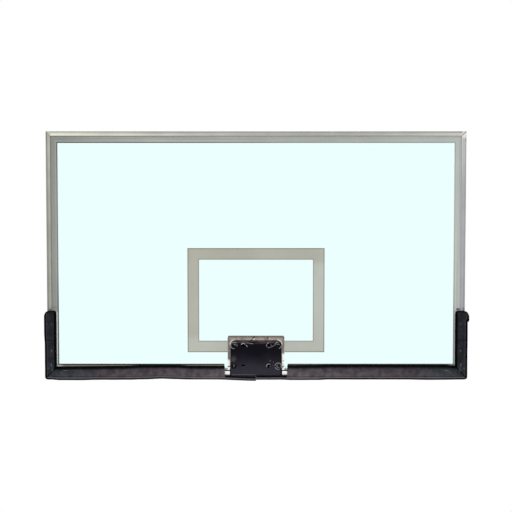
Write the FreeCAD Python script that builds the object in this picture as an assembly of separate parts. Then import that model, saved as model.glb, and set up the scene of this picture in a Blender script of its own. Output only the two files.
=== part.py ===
import FreeCAD
import Part
import math
import os

from FreeCAD import Vector

# Basketball backboard: tempered glass in an aluminium frame, with a steel goal mount and edge pads.
# X runs to the right as seen from the court, Z is up, and the front faces -Y. All lengths are in mm.
# The origin is the centre of the arm bolt pattern, on the rear face of the goal bracket.

# Frame, measured outside, and its extruded section
board_width = 1800.0
board_height = 1050.0
frame_wall = 3.0
lip_width = 20.0
lip_thickness = 3.0
lip_edge_radius = 1.0
lip_outer_radius = 5.0
lip_groove_width = 2.0
lip_groove_depth = 0.8
lip_groove_share = 0.35
chamber_width = 30.0
chamber_depth = 36.0
slot_width = 13.0
slot_depth = 8.0
slot_floor = 2.0

# Corner keys inside the frame and their screws
key_length = 90.0
key_play = 0.4
key_screw_inset = 62.0
key_screw_radius = 2.5
key_screw_length = 14.0
key_screw_head_radius = 4.75
key_screw_head_height = 2.8

# Glass and glazing
glass_thickness = 12.0
gasket_side = 2.0
gasket_edge = 2.0
setting_block_thickness = 3.0
setting_block_length = 80.0
setting_block_shares = (-0.4, -0.2, 0.2, 0.4)

# Printed lines on the front of the glass
line_width = 50.0
target_width = 590.0
target_height = 450.0
ring_plane_height = 150.0
line_mount_gap = 14.0
print_thickness = 0.3
print_gap = 0.05
print_margin = 0.5

# Goal mount
ring_spacing_x = 110.0
ring_spacing_z = 90.0
ring_hole_radius = 7.0
ring_hole_chamfer = 0.5
boss_radius = 9.5
boss_thread_radius = 5.1
boss_ring_depth = 24.0
boss_arm_depth = 12.0
rail_gap = 1.0
cheek_gap = 9.5
cheek_thickness = 6.0
web_thickness = 6.0
flange_thickness = 8.0
packer_thickness = 4.0
rear_plate_thickness = 8.0
rear_plate_margin = 24.0
plate_thickness = 10.0
plate_corner_radius = 20.0
plate_edge_chamfer = 1.0
plate_top_margin = 21.0
flange_inset = 2.0

# Countersunk screws of the goal plate, and of the bracket on the bottom rail
plate_screw_radius = 6.0
plate_screw_head_radius = 12.0
plate_screw_margin = 16.0
plate_screw_socket = 8.0
plate_screw_socket_depth = 4.5
rail_screw_radius = 4.0
rail_screw_head_radius = 8.0
rail_screw_spacing = 50.0
rail_screw_socket = 5.0
rail_screw_socket_depth = 3.0
rail_screw_count = 4
screw_play = 0.3

# Trim round the notch in the glass
trim_gap = 1.0
trim_wall = 2.0
trim_side_width = 10.0
trim_top_width = 18.0
trim_corner_radius = 8.0
notch_gasket_edge = 1.5
notch_gasket_side = 1.0

# T bolts in the slot of the top rail
stay_spacing = 1100.0
stay_bolt_radius = 6.0
stay_bolt_reach = 40.0
stay_bolt_chamfer = 1.2
tee_length = 24.0
tee_height = 6.0
slot_play = 0.4

# Edge pads
pad_side_wall = 10.0
pad_bottom_wall = 17.0
pad_front_wall = 12.0
pad_rear_wall = 10.0
pad_side_cover = 45.0
pad_bottom_cover = 36.0
pad_rear_cover = 30.0
pad_side_height = 280.0
pad_opening_width = 270.0
pad_edge_radius = 8.0
pad_lip_radius = 4.0
pad_corner_radius = 12.0
pad_end_radius = 22.0
pad_fit = 0.3
pad_joint_gap = 0.6
pad_screw_radius = 2.1
pad_screw_bite = 6.0
pad_screw_head_radius = 4.5
pad_screw_head_height = 3.0
pad_washer_radius = 8.0
pad_washer_thickness = 1.5
pad_side_screw_shares = (0.3, 0.55, 0.8)
pad_bottom_screw_shares = (0.12, 0.36, 0.62, 0.88)

# Hexagon sockets of the pan-head screws, as shares of the head
pan_socket_share = 0.55
pan_socket_depth_share = 0.6

# Length by which a cut overruns the faces that it opens
overrun = 5.0

# Depths run back from the front face of the frame lip
glass_front = lip_thickness + gasket_side
glass_rear = glass_front + glass_thickness
chamber_front = glass_rear + gasket_side
frame_depth = chamber_front + chamber_depth
mount_depth = frame_depth + rear_plate_thickness
slot_rear = frame_depth - frame_wall
slot_front = slot_rear - slot_depth
cell_front = chamber_front + frame_wall
cell_rear = slot_front - slot_floor
print_rear = glass_front - print_gap
print_front = print_rear - print_thickness

# The goal plate stands in front of the packer and the flange, and these in front of the bottom rail
flange_rear = chamber_front - packer_thickness
flange_front = flange_rear - flange_thickness
plate_front = flange_front - plate_thickness

# Half widths and heights of the goal mount, heights measured from the lower edge of the frame
ring_column = ring_spacing_x / 2
ring_row = ring_spacing_z / 2
cheek_inner = ring_column + boss_radius + cheek_gap
cheek_outer = cheek_inner + cheek_thickness
screw_column = cheek_outer + cheek_gap + plate_screw_radius
plate_half_width = screw_column + plate_screw_margin
mount_height = chamber_width + rail_gap + boss_radius + ring_row
plate_top = mount_height + ring_row + plate_top_margin
flange_half_width = plate_half_width - flange_inset
flange_top = plate_top - flange_inset
web_bottom = mount_height + ring_row + boss_radius + rail_gap
web_top = web_bottom + web_thickness
rear_plate_half_width = cheek_outer + rear_plate_margin

# Half widths and heights of the notch
opening_half_width = plate_half_width + trim_gap
opening_top = plate_top + trim_gap
opening_radius = plate_corner_radius + trim_gap
trim_half_width = opening_half_width + trim_side_width
trim_top = opening_top + trim_top_width
notch_growth = trim_wall + notch_gasket_edge
edge_inset = frame_wall + setting_block_thickness + gasket_edge

# Outline of the pads
pad_side_out = pad_fit + pad_side_wall
pad_bottom_out = pad_fit + pad_bottom_wall
pad_mitre_share = (pad_rear_cover + pad_side_out) / (pad_side_cover + pad_side_out)
pad_bottom_rear_cover = pad_mitre_share * (pad_bottom_cover + pad_bottom_out) - pad_bottom_out
pad_screw_inset = (frame_wall + (chamber_width - slot_width) / 2) / 2

half_width = board_width / 2
slot_centre = chamber_width / 2


def depth_y(depth):
    return depth - mount_depth


def height_z(height):
    return height - mount_height


def block(x0, x1, d0, d1, h0, h1):
    corner = Vector(x0, depth_y(d0), height_z(h0))
    return Part.makeBox(x1 - x0, d1 - d0, h1 - h0, corner)


def cylinder(radius, x, h, d0, d1):
    return Part.makeCylinder(radius, d1 - d0, Vector(x, depth_y(d0), height_z(h)), Vector(0, 1, 0))


def rounded_wire(corners, place):
    # Closed outline through corners given as (first, second, radius), put in space by place.
    edges = []
    joints = []
    for i, (a, b, radius) in enumerate(corners):
        here = Vector(a, b, 0)
        back = Vector(corners[i - 1][0], corners[i - 1][1], 0) - here
        ahead = Vector(corners[(i + 1) % len(corners)][0], corners[(i + 1) % len(corners)][1], 0) - here
        back.normalize()
        ahead.normalize()
        half_angle = back.getAngle(ahead) / 2
        reach = radius / math.tan(half_angle)
        middle = back + ahead
        if radius:
            middle.normalize()
        middle = here + middle * (radius / math.sin(half_angle) - radius) if radius else here
        joints.append((here + back * reach, middle, here + ahead * reach, radius))
    for i, (start, middle, end, radius) in enumerate(joints):
        previous = joints[i - 1][2]
        edges.append(Part.makeLine(place(previous), place(start)))
        if radius:
            edges.append(Part.Arc(place(start), place(middle), place(end)).toShape())
    return Part.Wire(edges)


def slab(corners, d0, d1):
    # Plate with an outline seen from the front, between two depths.
    wire = rounded_wire(corners, lambda p: Vector(p.x, depth_y(d0), height_z(p.y)))
    return Part.Face(wire).extrude(Vector(0, d1 - d0, 0))


def arch(half, top, radius, bottom):
    return [(-half, bottom, 0), (half, bottom, 0), (half, top, radius), (-half, top, radius)]


def rectangle(x0, x1, h0, h1):
    return [(x0, h0, 0), (x1, h0, 0), (x1, h1, 0), (x0, h1, 0)]


def fused(shapes):
    return shapes[0].fuse(shapes[1:]).removeSplitter()


def pointed(shape, position, axis):
    # Moves a shape made along +Z at the origin to a position, pointing along an axis.
    turned = shape.copy()
    turned.Placement = FreeCAD.Placement(position, FreeCAD.Rotation(Vector(0, 0, 1), axis))
    return turned


def hexagon(flats, height):
    points = [Vector(flats / math.sqrt(3), 0, 0)]
    for i in range(1, 7):
        turn = i * math.pi / 3
        points.append(Vector(math.cos(turn), math.sin(turn), 0) * (flats / math.sqrt(3)))
    return Part.Face(Part.makePolygon(points)).extrude(Vector(0, 0, height))


def countersunk_screw(head_radius, radius, length, socket, socket_depth):
    # Screw with the top of its head at the origin and its point along -Z.
    cone_height = head_radius - radius
    head = Part.makeCone(radius, head_radius, cone_height, Vector(0, 0, -cone_height))
    shank = Part.makeCylinder(radius, length - cone_height, Vector(0, 0, -length))
    recess = hexagon(socket, socket_depth + overrun)
    recess.translate(Vector(0, 0, -socket_depth))
    return fused([head, shank]).cut(recess)


def countersunk_hole(head_radius, radius, length):
    wide = head_radius + screw_play * 2
    bore = radius + screw_play
    cone_height = wide - bore
    cone = Part.makeCone(bore, wide, cone_height, Vector(0, 0, -cone_height))
    shank = Part.makeCylinder(bore, length + overrun, Vector(0, 0, -length - overrun))
    mouth = Part.makeCylinder(wide, overrun)
    return fused([cone, shank, mouth])


def pan_screw(head_radius, head_height, radius, length):
    # Screw with the underside of its head at the origin and its point along -Z.
    head = Part.makeCylinder(head_radius, head_height)
    rim = [e for e in head.Edges if len(e.Vertexes) == 1 and e.Vertexes[0].Z > head_height / 2]
    head = head.makeFillet(head_height / 2, rim)
    shank = Part.makeCylinder(radius, length, Vector(0, 0, -length))
    recess = hexagon(head_radius * pan_socket_share * 2, head_height + overrun)
    recess.translate(Vector(0, 0, head_height - head_height * pan_socket_depth_share))
    return fused([head, shank]).cut(recess)


# Frame rails, made along X with their outer edge at z = 0 and turned into place
rail_turns = {
    "bottom_rail": (0, Vector(0, 0, height_z(0)), board_width),
    "left_stile": (90, Vector(-half_width, 0, height_z(board_height / 2)), board_height),
    "top_rail": (180, Vector(0, 0, height_z(board_height)), board_width),
    "right_stile": (270, Vector(half_width, 0, height_z(board_height / 2)), board_height),
}


def on_rail(shape, name):
    angle, place, length = rail_turns[name]
    turned = shape.copy()
    turned.rotate(Vector(0, 0, 0), Vector(0, 1, 0), angle)
    turned.translate(place)
    return turned


def rail_bar(length, u0, u1, d0, d1):
    return Part.makeBox(length, d1 - d0, u1 - u0, Vector(-length / 2, depth_y(d0), u0))


def long_edges(shape, length, u, depth):
    # Edges of a rail that run its whole length at one place of the section.
    found = []
    for edge in shape.Edges:
        point = edge.CenterOfMass
        if edge.Length > length / 2 and abs(point.z - u) + abs(point.y - depth_y(depth)) < lip_edge_radius / 4:
            found.append(edge)
    return found


def rail_section(length):
    body = fused([
        rail_bar(length, 0, chamber_width, chamber_front, frame_depth),
        rail_bar(length, 0, lip_width, 0, chamber_front),
    ])
    body = body.makeFillet(lip_outer_radius, long_edges(body, length, 0, 0))
    rounded = []
    for u, depth in ((lip_width, 0), (0, frame_depth), (chamber_width, frame_depth)):
        rounded += long_edges(body, length, u, depth)
    body = body.makeFillet(lip_edge_radius, rounded)
    groove = lip_width * lip_groove_share
    inner = chamber_width - frame_wall
    return body.cut([
        rail_bar(length, frame_wall, lip_width + overrun, lip_thickness, chamber_front),
        rail_bar(length, frame_wall, inner, cell_front, cell_rear),
        rail_bar(length, frame_wall, inner, slot_front, slot_rear),
        rail_bar(length, slot_centre - slot_width / 2, slot_centre + slot_width / 2, slot_front, frame_depth + overrun),
        rail_bar(length, groove - lip_groove_width / 2, groove + lip_groove_width / 2, -overrun, lip_groove_depth),
    ])


def mitred_rail(name):
    length = rail_turns[name][2]
    end = length / 2
    outline = [
        Vector(-end, depth_y(-overrun), 0),
        Vector(end, depth_y(-overrun), 0),
        Vector(end - chamber_width, depth_y(-overrun), chamber_width),
        Vector(chamber_width - end, depth_y(-overrun), chamber_width),
        Vector(-end, depth_y(-overrun), 0),
    ]
    mitre = Part.Face(Part.makePolygon(outline)).extrude(Vector(0, mount_depth + overrun, 0))
    rail = rail_section(length).common(mitre)
    return rail.cut([key_screw_hole(x) for x in key_screw_places(length)])


def key_screw_places(length):
    return (key_screw_inset - length / 2, length / 2 - key_screw_inset)


def key_screw_base(x, u):
    return Vector(x, depth_y((cell_front + cell_rear) / 2), u)


def key_screw_hole(x):
    start = key_screw_base(x, chamber_width - key_screw_length - overrun)
    return Part.makeCylinder(key_screw_radius + screw_play, key_screw_length + overrun * 2, start)


def rail(name):
    return on_rail(mitred_rail(name), name)


def bottom_rail():
    # The lip and the glass pocket stop at the goal plate, and the box behind runs on.
    whole = rail("bottom_rail")
    gap = opening_half_width + trim_gap
    whole = whole.cut(block(-gap, gap, -overrun, chamber_front, -overrun, lip_width + overrun))
    return whole.cut(pad_screw_holes())


def stile(name):
    return rail(name).cut(pad_screw_holes())


def corner_key(side, level):
    # L of bar that fills the front cell of two rails; side and level are -1 or 1.
    near = frame_wall + key_play
    far = chamber_width - near
    d0 = cell_front + key_play
    d1 = cell_rear - key_play
    key = fused([
        block(near - half_width, key_length - half_width, d0, d1, near, far),
        block(near - half_width, far - half_width, d0, d1, near, key_length),
    ])
    key = key.cut([
        on_rail(key_screw_hole(key_screw_inset - board_width / 2), "bottom_rail"),
        on_rail(key_screw_hole(board_height / 2 - key_screw_inset), "left_stile"),
    ])
    if side > 0:
        key = key.mirror(Vector(0, 0, 0), Vector(1, 0, 0))
    if level > 0:
        key = key.mirror(Vector(0, 0, height_z(board_height / 2)), Vector(0, 0, 1))
    return key


def corner_key_screws():
    screws = []
    for name, (angle, place, length) in rail_turns.items():
        for x in key_screw_places(length):
            screw = pan_screw(key_screw_head_radius, key_screw_head_height, key_screw_radius, key_screw_length)
            screw.translate(key_screw_base(x, chamber_width))
            screws.append(on_rail(screw, name))
    return Part.makeCompound(screws)


# Glass, prints and glazing


def notch_outline(growth):
    # Outline of the notch, grown outwards from the opening of the trim.
    return arch(opening_half_width + growth, opening_top + growth, opening_radius + growth, -overrun)


def trim_outline(growth):
    return arch(trim_half_width + growth, trim_top + growth, trim_corner_radius + growth, -overrun)


def frame_rectangle(inset):
    return rectangle(inset - half_width, half_width - inset, inset, board_height - inset)


def glass_panel():
    sheet = slab(frame_rectangle(edge_inset), glass_front, glass_rear)
    return sheet.cut(slab(notch_outline(notch_growth), glass_front - overrun, glass_rear + overrun))


def printed(outer, inner):
    film = slab(outer, print_front, print_rear)
    film = film.cut(slab(inner, print_front - overrun, print_rear + overrun))
    return film.cut(slab(trim_outline(print_margin), print_front - overrun, print_rear + overrun))


def boundary_line():
    # The line stops short of the trim on both sides.
    film = printed(frame_rectangle(lip_width + print_margin), frame_rectangle(line_width))
    clear = trim_half_width + line_mount_gap
    return film.cut(block(-clear, clear, print_front - overrun, print_rear + overrun, 0, line_width + overrun))


def target_square():
    half = target_width / 2
    base = ring_plane_height - line_width
    top = base + target_height
    outer = rectangle(-half, half, base, top)
    inner = rectangle(line_width - half, half - line_width, ring_plane_height, top - line_width)
    return printed(outer, inner)


def gasket(x0, x1):
    # U strip over one edge of the glass, made along X like the rails.
    length = x1 - x0
    strip = rail_bar(length, edge_inset - gasket_edge, lip_width, lip_thickness, chamber_front)
    strip = strip.cut(rail_bar(length + overrun, edge_inset, lip_width + overrun, glass_front, glass_rear))
    strip.translate(Vector((x0 + x1) / 2, 0, 0))
    return strip


def side_gasket(name):
    reach = board_height / 2 - edge_inset + gasket_edge
    return on_rail(gasket(-reach, reach), name)


def top_gasket():
    reach = half_width - lip_width
    return on_rail(gasket(-reach, reach), "top_rail")


def bottom_gasket(side):
    near = trim_half_width + trim_gap
    far = half_width - lip_width
    strip = gasket(near, far) if side > 0 else gasket(-far, -near)
    return on_rail(strip, "bottom_rail")


def setting_blocks():
    blocks = []
    for share in setting_block_shares:
        x = share * board_width
        reach = setting_block_length / 2
        top = frame_wall + setting_block_thickness
        blocks.append(block(x - reach, x + reach, glass_front, glass_rear, frame_wall, top))
    return Part.makeCompound(blocks)


def notch_trim():
    front = glass_front - notch_gasket_side - trim_wall
    rear = glass_rear + notch_gasket_side + trim_wall
    trim = slab(trim_outline(0), front, rear)
    trim = trim.cut(slab(notch_outline(0), front - overrun, rear + overrun))
    channel = slab(trim_outline(overrun), front + trim_wall, rear - trim_wall)
    channel = channel.cut(slab(notch_outline(trim_wall), front, rear))
    trim = trim.cut(channel)
    wide = trim_half_width + overrun
    trim = trim.cut(block(-wide, wide, front - overrun, rear + overrun, -overrun * 2, lip_width + trim_gap))
    return trim.cut(rail_clearance())


def rail_clearance():
    # Room for the box of the bottom rail behind the glass.
    wide = trim_half_width + overrun
    return block(-wide, wide, chamber_front - trim_gap, frame_depth, -overrun, chamber_width + trim_gap)


def notch_gasket():
    front = glass_front - notch_gasket_side
    rear = glass_rear + notch_gasket_side
    strip = slab(trim_outline(-trim_gap), front, rear)
    strip = strip.cut(slab(notch_outline(trim_wall), front - overrun, rear + overrun))
    channel = slab(trim_outline(overrun), glass_front, glass_rear)
    channel = channel.cut(slab(notch_outline(notch_growth), front, rear))
    strip = strip.cut(channel)
    wide = trim_half_width + overrun
    strip = strip.cut(block(-wide, wide, front - overrun, rear + overrun, -overrun * 2, lip_width + trim_gap))
    return strip.cut(rail_clearance())


# Goal mount


def ring_places():
    return [(x, mount_height + z) for x in (-ring_column, ring_column) for z in (-ring_row, ring_row)]


def plate_screw_places():
    return [(x, mount_height + z) for x in (-screw_column, screw_column) for z in (-ring_row, ring_row)]


def ring_bores(d0, d1):
    return [cylinder(ring_hole_radius, x, h, d0, d1) for x, h in ring_places()]


def goal_plate():
    plate = slab(arch(plate_half_width, plate_top, plate_corner_radius, 0), plate_front, flange_front)
    face = min(plate.Faces, key=lambda f: f.CenterOfMass.y)
    plate = plate.makeChamfer(plate_edge_chamfer, face.Edges)
    holes = ring_bores(plate_front - overrun, flange_front + overrun)
    for x, h in ring_places():
        mouth = Vector(x, depth_y(plate_front), height_z(h))
        wide = ring_hole_radius + ring_hole_chamfer
        holes.append(Part.makeCone(wide, ring_hole_radius, ring_hole_chamfer, mouth, Vector(0, 1, 0)))
    for x, h in plate_screw_places():
        hole = countersunk_hole(plate_screw_head_radius, plate_screw_radius, plate_thickness)
        holes.append(pointed(hole, Vector(x, depth_y(plate_front), height_z(h)), Vector(0, -1, 0)))
    return plate.cut(holes)


def goal_plate_screws():
    length = plate_thickness + flange_thickness
    screws = []
    for x, h in plate_screw_places():
        screw = countersunk_screw(
            plate_screw_head_radius, plate_screw_radius, length, plate_screw_socket, plate_screw_socket_depth)
        screws.append(pointed(screw, Vector(x, depth_y(plate_front + screw_play), height_z(h)), Vector(0, -1, 0)))
    return Part.makeCompound(screws)


def bracket_flange():
    outline = arch(flange_half_width, flange_top, plate_corner_radius - flange_inset, flange_inset)
    flange = slab(outline, flange_front, flange_rear)
    holes = ring_bores(flange_front - overrun, flange_rear + overrun)
    for x, h in plate_screw_places():
        holes.append(cylinder(plate_screw_radius + screw_play, x, h, flange_front - overrun, flange_rear + overrun))
    return flange.cut(holes)


def bracket_packer():
    return block(-flange_half_width, flange_half_width, flange_rear, chamber_front, flange_inset, chamber_width)


def bracket_cheek(side):
    cheek = block(cheek_inner, cheek_outer, flange_rear, frame_depth, chamber_width + rail_gap, web_top)
    return cheek if side > 0 else cheek.mirror(Vector(0, 0, 0), Vector(1, 0, 0))


def bracket_top_web():
    return block(-cheek_inner, cheek_inner, flange_rear, frame_depth, web_bottom, web_top)


def bolt_bosses():
    # Solid bars tapped from both ends, for the ring bolts in front and the arm bolts behind.
    bosses = []
    for x, h in ring_places():
        bar = cylinder(boss_radius, x, h, flange_rear, frame_depth)
        bosses.append(bar.cut([
            cylinder(boss_thread_radius, x, h, flange_rear - overrun, flange_rear + boss_ring_depth),
            cylinder(boss_thread_radius, x, h, frame_depth - boss_arm_depth, frame_depth + overrun),
        ]))
    return Part.makeCompound(bosses)


def rail_screw_places():
    first = (1 - rail_screw_count) / 2
    return [(first + i) * rail_screw_spacing for i in range(rail_screw_count)]


def bracket_rear_plate():
    outline = arch(rear_plate_half_width, web_top, plate_corner_radius, flange_inset)
    plate = slab(outline, frame_depth, mount_depth)
    holes = ring_bores(frame_depth - overrun, mount_depth + overrun)
    for x in rail_screw_places():
        hole = countersunk_hole(rail_screw_head_radius, rail_screw_radius, rear_plate_thickness)
        holes.append(pointed(hole, Vector(x, 0, height_z(slot_centre)), Vector(0, 1, 0)))
    return plate.cut(holes)


def rail_screws():
    length = rear_plate_thickness + frame_wall + tee_height
    screws = []
    for x in rail_screw_places():
        screw = countersunk_screw(
            rail_screw_head_radius, rail_screw_radius, length, rail_screw_socket, rail_screw_socket_depth)
        screws.append(pointed(screw, Vector(x, -screw_play, height_z(slot_centre)), Vector(0, 1, 0)))
    return Part.makeCompound(screws)


def slot_tee(x, h):
    # T-shaped head that fills the slot of a rail and shows in its mouth.
    reach = tee_length / 2
    wide = slot_centre - frame_wall - slot_play
    narrow = slot_width / 2 - slot_play
    return fused([
        block(x - reach, x + reach, slot_rear - tee_height, slot_rear, h - wide, h + wide),
        block(x - narrow, x + narrow, slot_rear, frame_depth, h - narrow, h + narrow),
    ])


def rail_t_nuts():
    nuts = []
    for x in rail_screw_places():
        bore = cylinder(rail_screw_radius + screw_play, x, slot_centre, slot_front, mount_depth)
        nuts.append(slot_tee(x, slot_centre).cut(bore))
    return Part.makeCompound(nuts)


def stay_bolts():
    bolts = []
    for x in (-stay_spacing / 2, stay_spacing / 2):
        h = board_height - slot_centre
        tip = frame_depth + stay_bolt_reach
        shank = cylinder(stay_bolt_radius, x, h, frame_depth, tip)
        end = [e for e in shank.Edges if len(e.Vertexes) == 1 and e.CenterOfMass.y > depth_y(tip - overrun)]
        shank = shank.makeChamfer(stay_bolt_chamfer, end)
        bolts.append(fused([slot_tee(x, h), shank]))
    return Part.makeCompound(bolts)


# Edge pads


def pad_section(wall_out, cover, rear_cover):
    # Section of a pad round the edge of the frame, as (inward, depth, radius).
    heel = print_front - pad_fit
    step = lip_width + pad_fit
    front = -pad_fit - pad_front_wall
    rear = frame_depth + pad_fit
    back = rear + pad_rear_wall
    return [
        (-wall_out, front, pad_edge_radius),
        (cover, front, pad_edge_radius),
        (cover, heel, 0),
        (step, heel, 0),
        (step, -pad_fit, 0),
        (-pad_fit, -pad_fit, 0),
        (-pad_fit, rear, 0),
        (rear_cover, rear, 0),
        (rear_cover, back, pad_lip_radius),
        (-wall_out, back, pad_edge_radius),
    ]


def pad_outline():
    left = -half_width - pad_side_out
    right = half_width + pad_side_out
    low = -pad_bottom_out
    top = pad_side_height
    return slab([
        (left, low, pad_corner_radius),
        (right, low, pad_corner_radius),
        (right, top, pad_end_radius),
        (left, top, pad_end_radius),
    ], -pad_front_wall - overrun, mount_depth + pad_rear_wall + overrun)


def pad_region(corners):
    outline = [(x, h, 0) for x, h in corners]
    return slab(outline, -pad_front_wall - overrun, mount_depth + pad_rear_wall + overrun)


def mirrored(shape, side):
    return shape.mirror(Vector(0, 0, 0), Vector(1, 0, 0)) if side > 0 else shape


def side_pad(side):
    left = -half_width - pad_side_out
    inner = pad_side_cover - half_width
    section = pad_section(pad_side_out, pad_side_cover, pad_rear_cover)
    wire = rounded_wire(section, lambda p: Vector(p.x - half_width, depth_y(p.y), height_z(-pad_bottom_out)))
    bar = Part.Face(wire).extrude(Vector(0, 0, pad_side_height + pad_bottom_out))
    mitre = [(left, -pad_bottom_out), (inner, pad_bottom_cover), (inner, pad_side_height), (left, pad_side_height)]
    pad = bar.common(pad_region(mitre)).common(pad_outline())
    corner = -half_width - pad_fit
    lip_room = block(corner, inner + overrun, -pad_fit, frame_depth, -pad_fit, lip_width + pad_fit)
    return mirrored(pad.cut(lip_room).cut(pad_screw_holes()), side)


def bottom_pad(side):
    left = -half_width - pad_side_out
    end = -pad_joint_gap / 2
    section = pad_section(pad_bottom_out, pad_bottom_cover, pad_bottom_rear_cover)
    wire = rounded_wire(section, lambda p: Vector(left, depth_y(p.y), height_z(p.x)))
    bar = Part.Face(wire).extrude(Vector(end - left, 0, 0))
    inner = pad_side_cover - half_width
    low = -pad_bottom_out
    mitre = [(left, low), (end, low), (end, pad_bottom_cover), (inner, pad_bottom_cover)]
    pad = bar.common(pad_region(mitre)).common(pad_outline())
    front = -pad_front_wall - overrun
    back = mount_depth + pad_rear_wall
    opening = block(-pad_opening_width / 2, 0, front, back, -pad_fit, pad_bottom_cover + overrun)
    return mirrored(pad.cut(opening).cut(pad_screw_holes()), side)


def pad_screw_places():
    places = []
    for side in (-1, 1):
        for share in pad_side_screw_shares:
            places.append((side * (half_width - pad_screw_inset), share * pad_side_height))
        for share in pad_bottom_screw_shares:
            inner = pad_opening_width / 2
            places.append((side * (inner + share * (half_width - inner)), pad_screw_inset))
    return places


def pad_screw_length():
    return pad_washer_thickness + pad_rear_wall + pad_fit + pad_screw_bite


def pad_screw_holes():
    back = frame_depth + pad_fit + pad_rear_wall + overrun
    holes = []
    for x, h in pad_screw_places():
        holes.append(cylinder(pad_screw_radius + screw_play, x, h, slot_front + overrun / 2, back))
    return holes


def pad_washers():
    face = frame_depth + pad_fit + pad_rear_wall
    back = face + pad_washer_thickness
    washers = []
    for x, h in pad_screw_places():
        washer = cylinder(pad_washer_radius, x, h, face, back)
        washers.append(washer.cut(cylinder(pad_screw_radius + screw_play, x, h, face - overrun, back + overrun)))
    return Part.makeCompound(washers)


def pad_screws():
    back = frame_depth + pad_fit + pad_rear_wall + pad_washer_thickness
    screws = []
    for x, h in pad_screw_places():
        screw = pan_screw(pad_screw_head_radius, pad_screw_head_height, pad_screw_radius, pad_screw_length())
        screws.append(pointed(screw, Vector(x, depth_y(back), height_z(h)), Vector(0, 1, 0)))
    return Part.makeCompound(screws)


parts = {
    "top_rail": rail("top_rail"),
    "bottom_rail": bottom_rail(),
    "left_stile": stile("left_stile"),
    "right_stile": stile("right_stile"),
    "bottom_left_corner_key": corner_key(-1, -1),
    "bottom_right_corner_key": corner_key(1, -1),
    "top_left_corner_key": corner_key(-1, 1),
    "top_right_corner_key": corner_key(1, 1),
    "corner_key_screws": corner_key_screws(),
    "glass_panel": glass_panel(),
    "boundary_line": boundary_line(),
    "target_square": target_square(),
    "top_gasket": top_gasket(),
    "left_gasket": side_gasket("left_stile"),
    "right_gasket": side_gasket("right_stile"),
    "bottom_left_gasket": bottom_gasket(-1),
    "bottom_right_gasket": bottom_gasket(1),
    "setting_blocks": setting_blocks(),
    "notch_trim": notch_trim(),
    "notch_gasket": notch_gasket(),
    "goal_plate": goal_plate(),
    "goal_plate_screws": goal_plate_screws(),
    "bracket_flange": bracket_flange(),
    "bracket_packer": bracket_packer(),
    "bracket_left_cheek": bracket_cheek(-1),
    "bracket_right_cheek": bracket_cheek(1),
    "bracket_top_web": bracket_top_web(),
    "bracket_rear_plate": bracket_rear_plate(),
    "bolt_bosses": bolt_bosses(),
    "rail_screws": rail_screws(),
    "rail_t_nuts": rail_t_nuts(),
    "stay_bolts": stay_bolts(),
    "left_side_pad": side_pad(-1),
    "right_side_pad": side_pad(1),
    "left_bottom_pad": bottom_pad(-1),
    "right_bottom_pad": bottom_pad(1),
    "pad_screws": pad_screws(),
    "pad_washers": pad_washers(),
}

os.makedirs("parts", exist_ok=True)
for name, shape in parts.items():
    if not shape.isValid():
        raise ValueError(name + " is not a valid shape")
    shape.exportStep("parts/" + name + ".step")
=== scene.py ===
import bpy
import bmesh
import math
from functools import partial
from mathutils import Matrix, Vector, noise


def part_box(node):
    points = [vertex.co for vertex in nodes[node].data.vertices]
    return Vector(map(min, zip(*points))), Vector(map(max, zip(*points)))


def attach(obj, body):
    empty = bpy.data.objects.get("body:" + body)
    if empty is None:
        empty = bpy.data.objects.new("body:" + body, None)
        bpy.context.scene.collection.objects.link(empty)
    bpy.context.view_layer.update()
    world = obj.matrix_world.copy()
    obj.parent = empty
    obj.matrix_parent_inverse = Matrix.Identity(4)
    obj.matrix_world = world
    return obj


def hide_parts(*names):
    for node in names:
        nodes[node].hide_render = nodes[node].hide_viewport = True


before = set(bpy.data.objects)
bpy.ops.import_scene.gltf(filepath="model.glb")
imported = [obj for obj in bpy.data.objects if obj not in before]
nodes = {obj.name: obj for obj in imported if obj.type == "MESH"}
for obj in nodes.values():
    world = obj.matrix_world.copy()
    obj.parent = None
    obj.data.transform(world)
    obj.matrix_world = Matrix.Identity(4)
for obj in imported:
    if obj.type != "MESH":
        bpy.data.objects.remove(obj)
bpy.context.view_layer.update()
scene = bpy.context.scene
mm = 0.001  # sizes and places are in millimetres, apart from those of the stage and the camera
print("frame loaded:", len(nodes), "nodes")


def boxOf(node):  # lowest and highest corner of a CAD node
    return [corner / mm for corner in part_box(node)]


# where the solids stand
lipFront = boxOf("top_rail")[0].y
lowerEdge = boxOf("bottom_rail")[0].z
upperEdge = boxOf("top_rail")[1].z
halfWidth = boxOf("top_rail")[1].x
middle = (lowerEdge + upperEdge) / 2


def dress(material, *names):  # gives CAD nodes their material
    for name in names:
        nodes[name].data.materials.clear()
        nodes[name].data.materials.append(material)


def show(name, data):  # a new object in the scene
    made = bpy.data.objects.new(name, data)
    scene.collection.objects.link(made)
    return made


def meshFrom(work, name):  # ends a bmesh with its faces outwards
    bmesh.ops.recalc_face_normals(work, faces=work.faces)
    data = bpy.data.meshes.new(name)
    work.to_mesh(data)
    work.free()
    return data


def colour(tone):  # sRGB hex to linear, any other value as it is
    if not isinstance(tone, str):
        return tone
    values = [int(tone[i:i + 2], 16) / 255 for i in (1, 3, 5)]
    return tuple(v / 12.92 if v <= 0.04045 else ((v + 0.055) / 1.055) ** 2.4 for v in values) + (1.0,)


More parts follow.
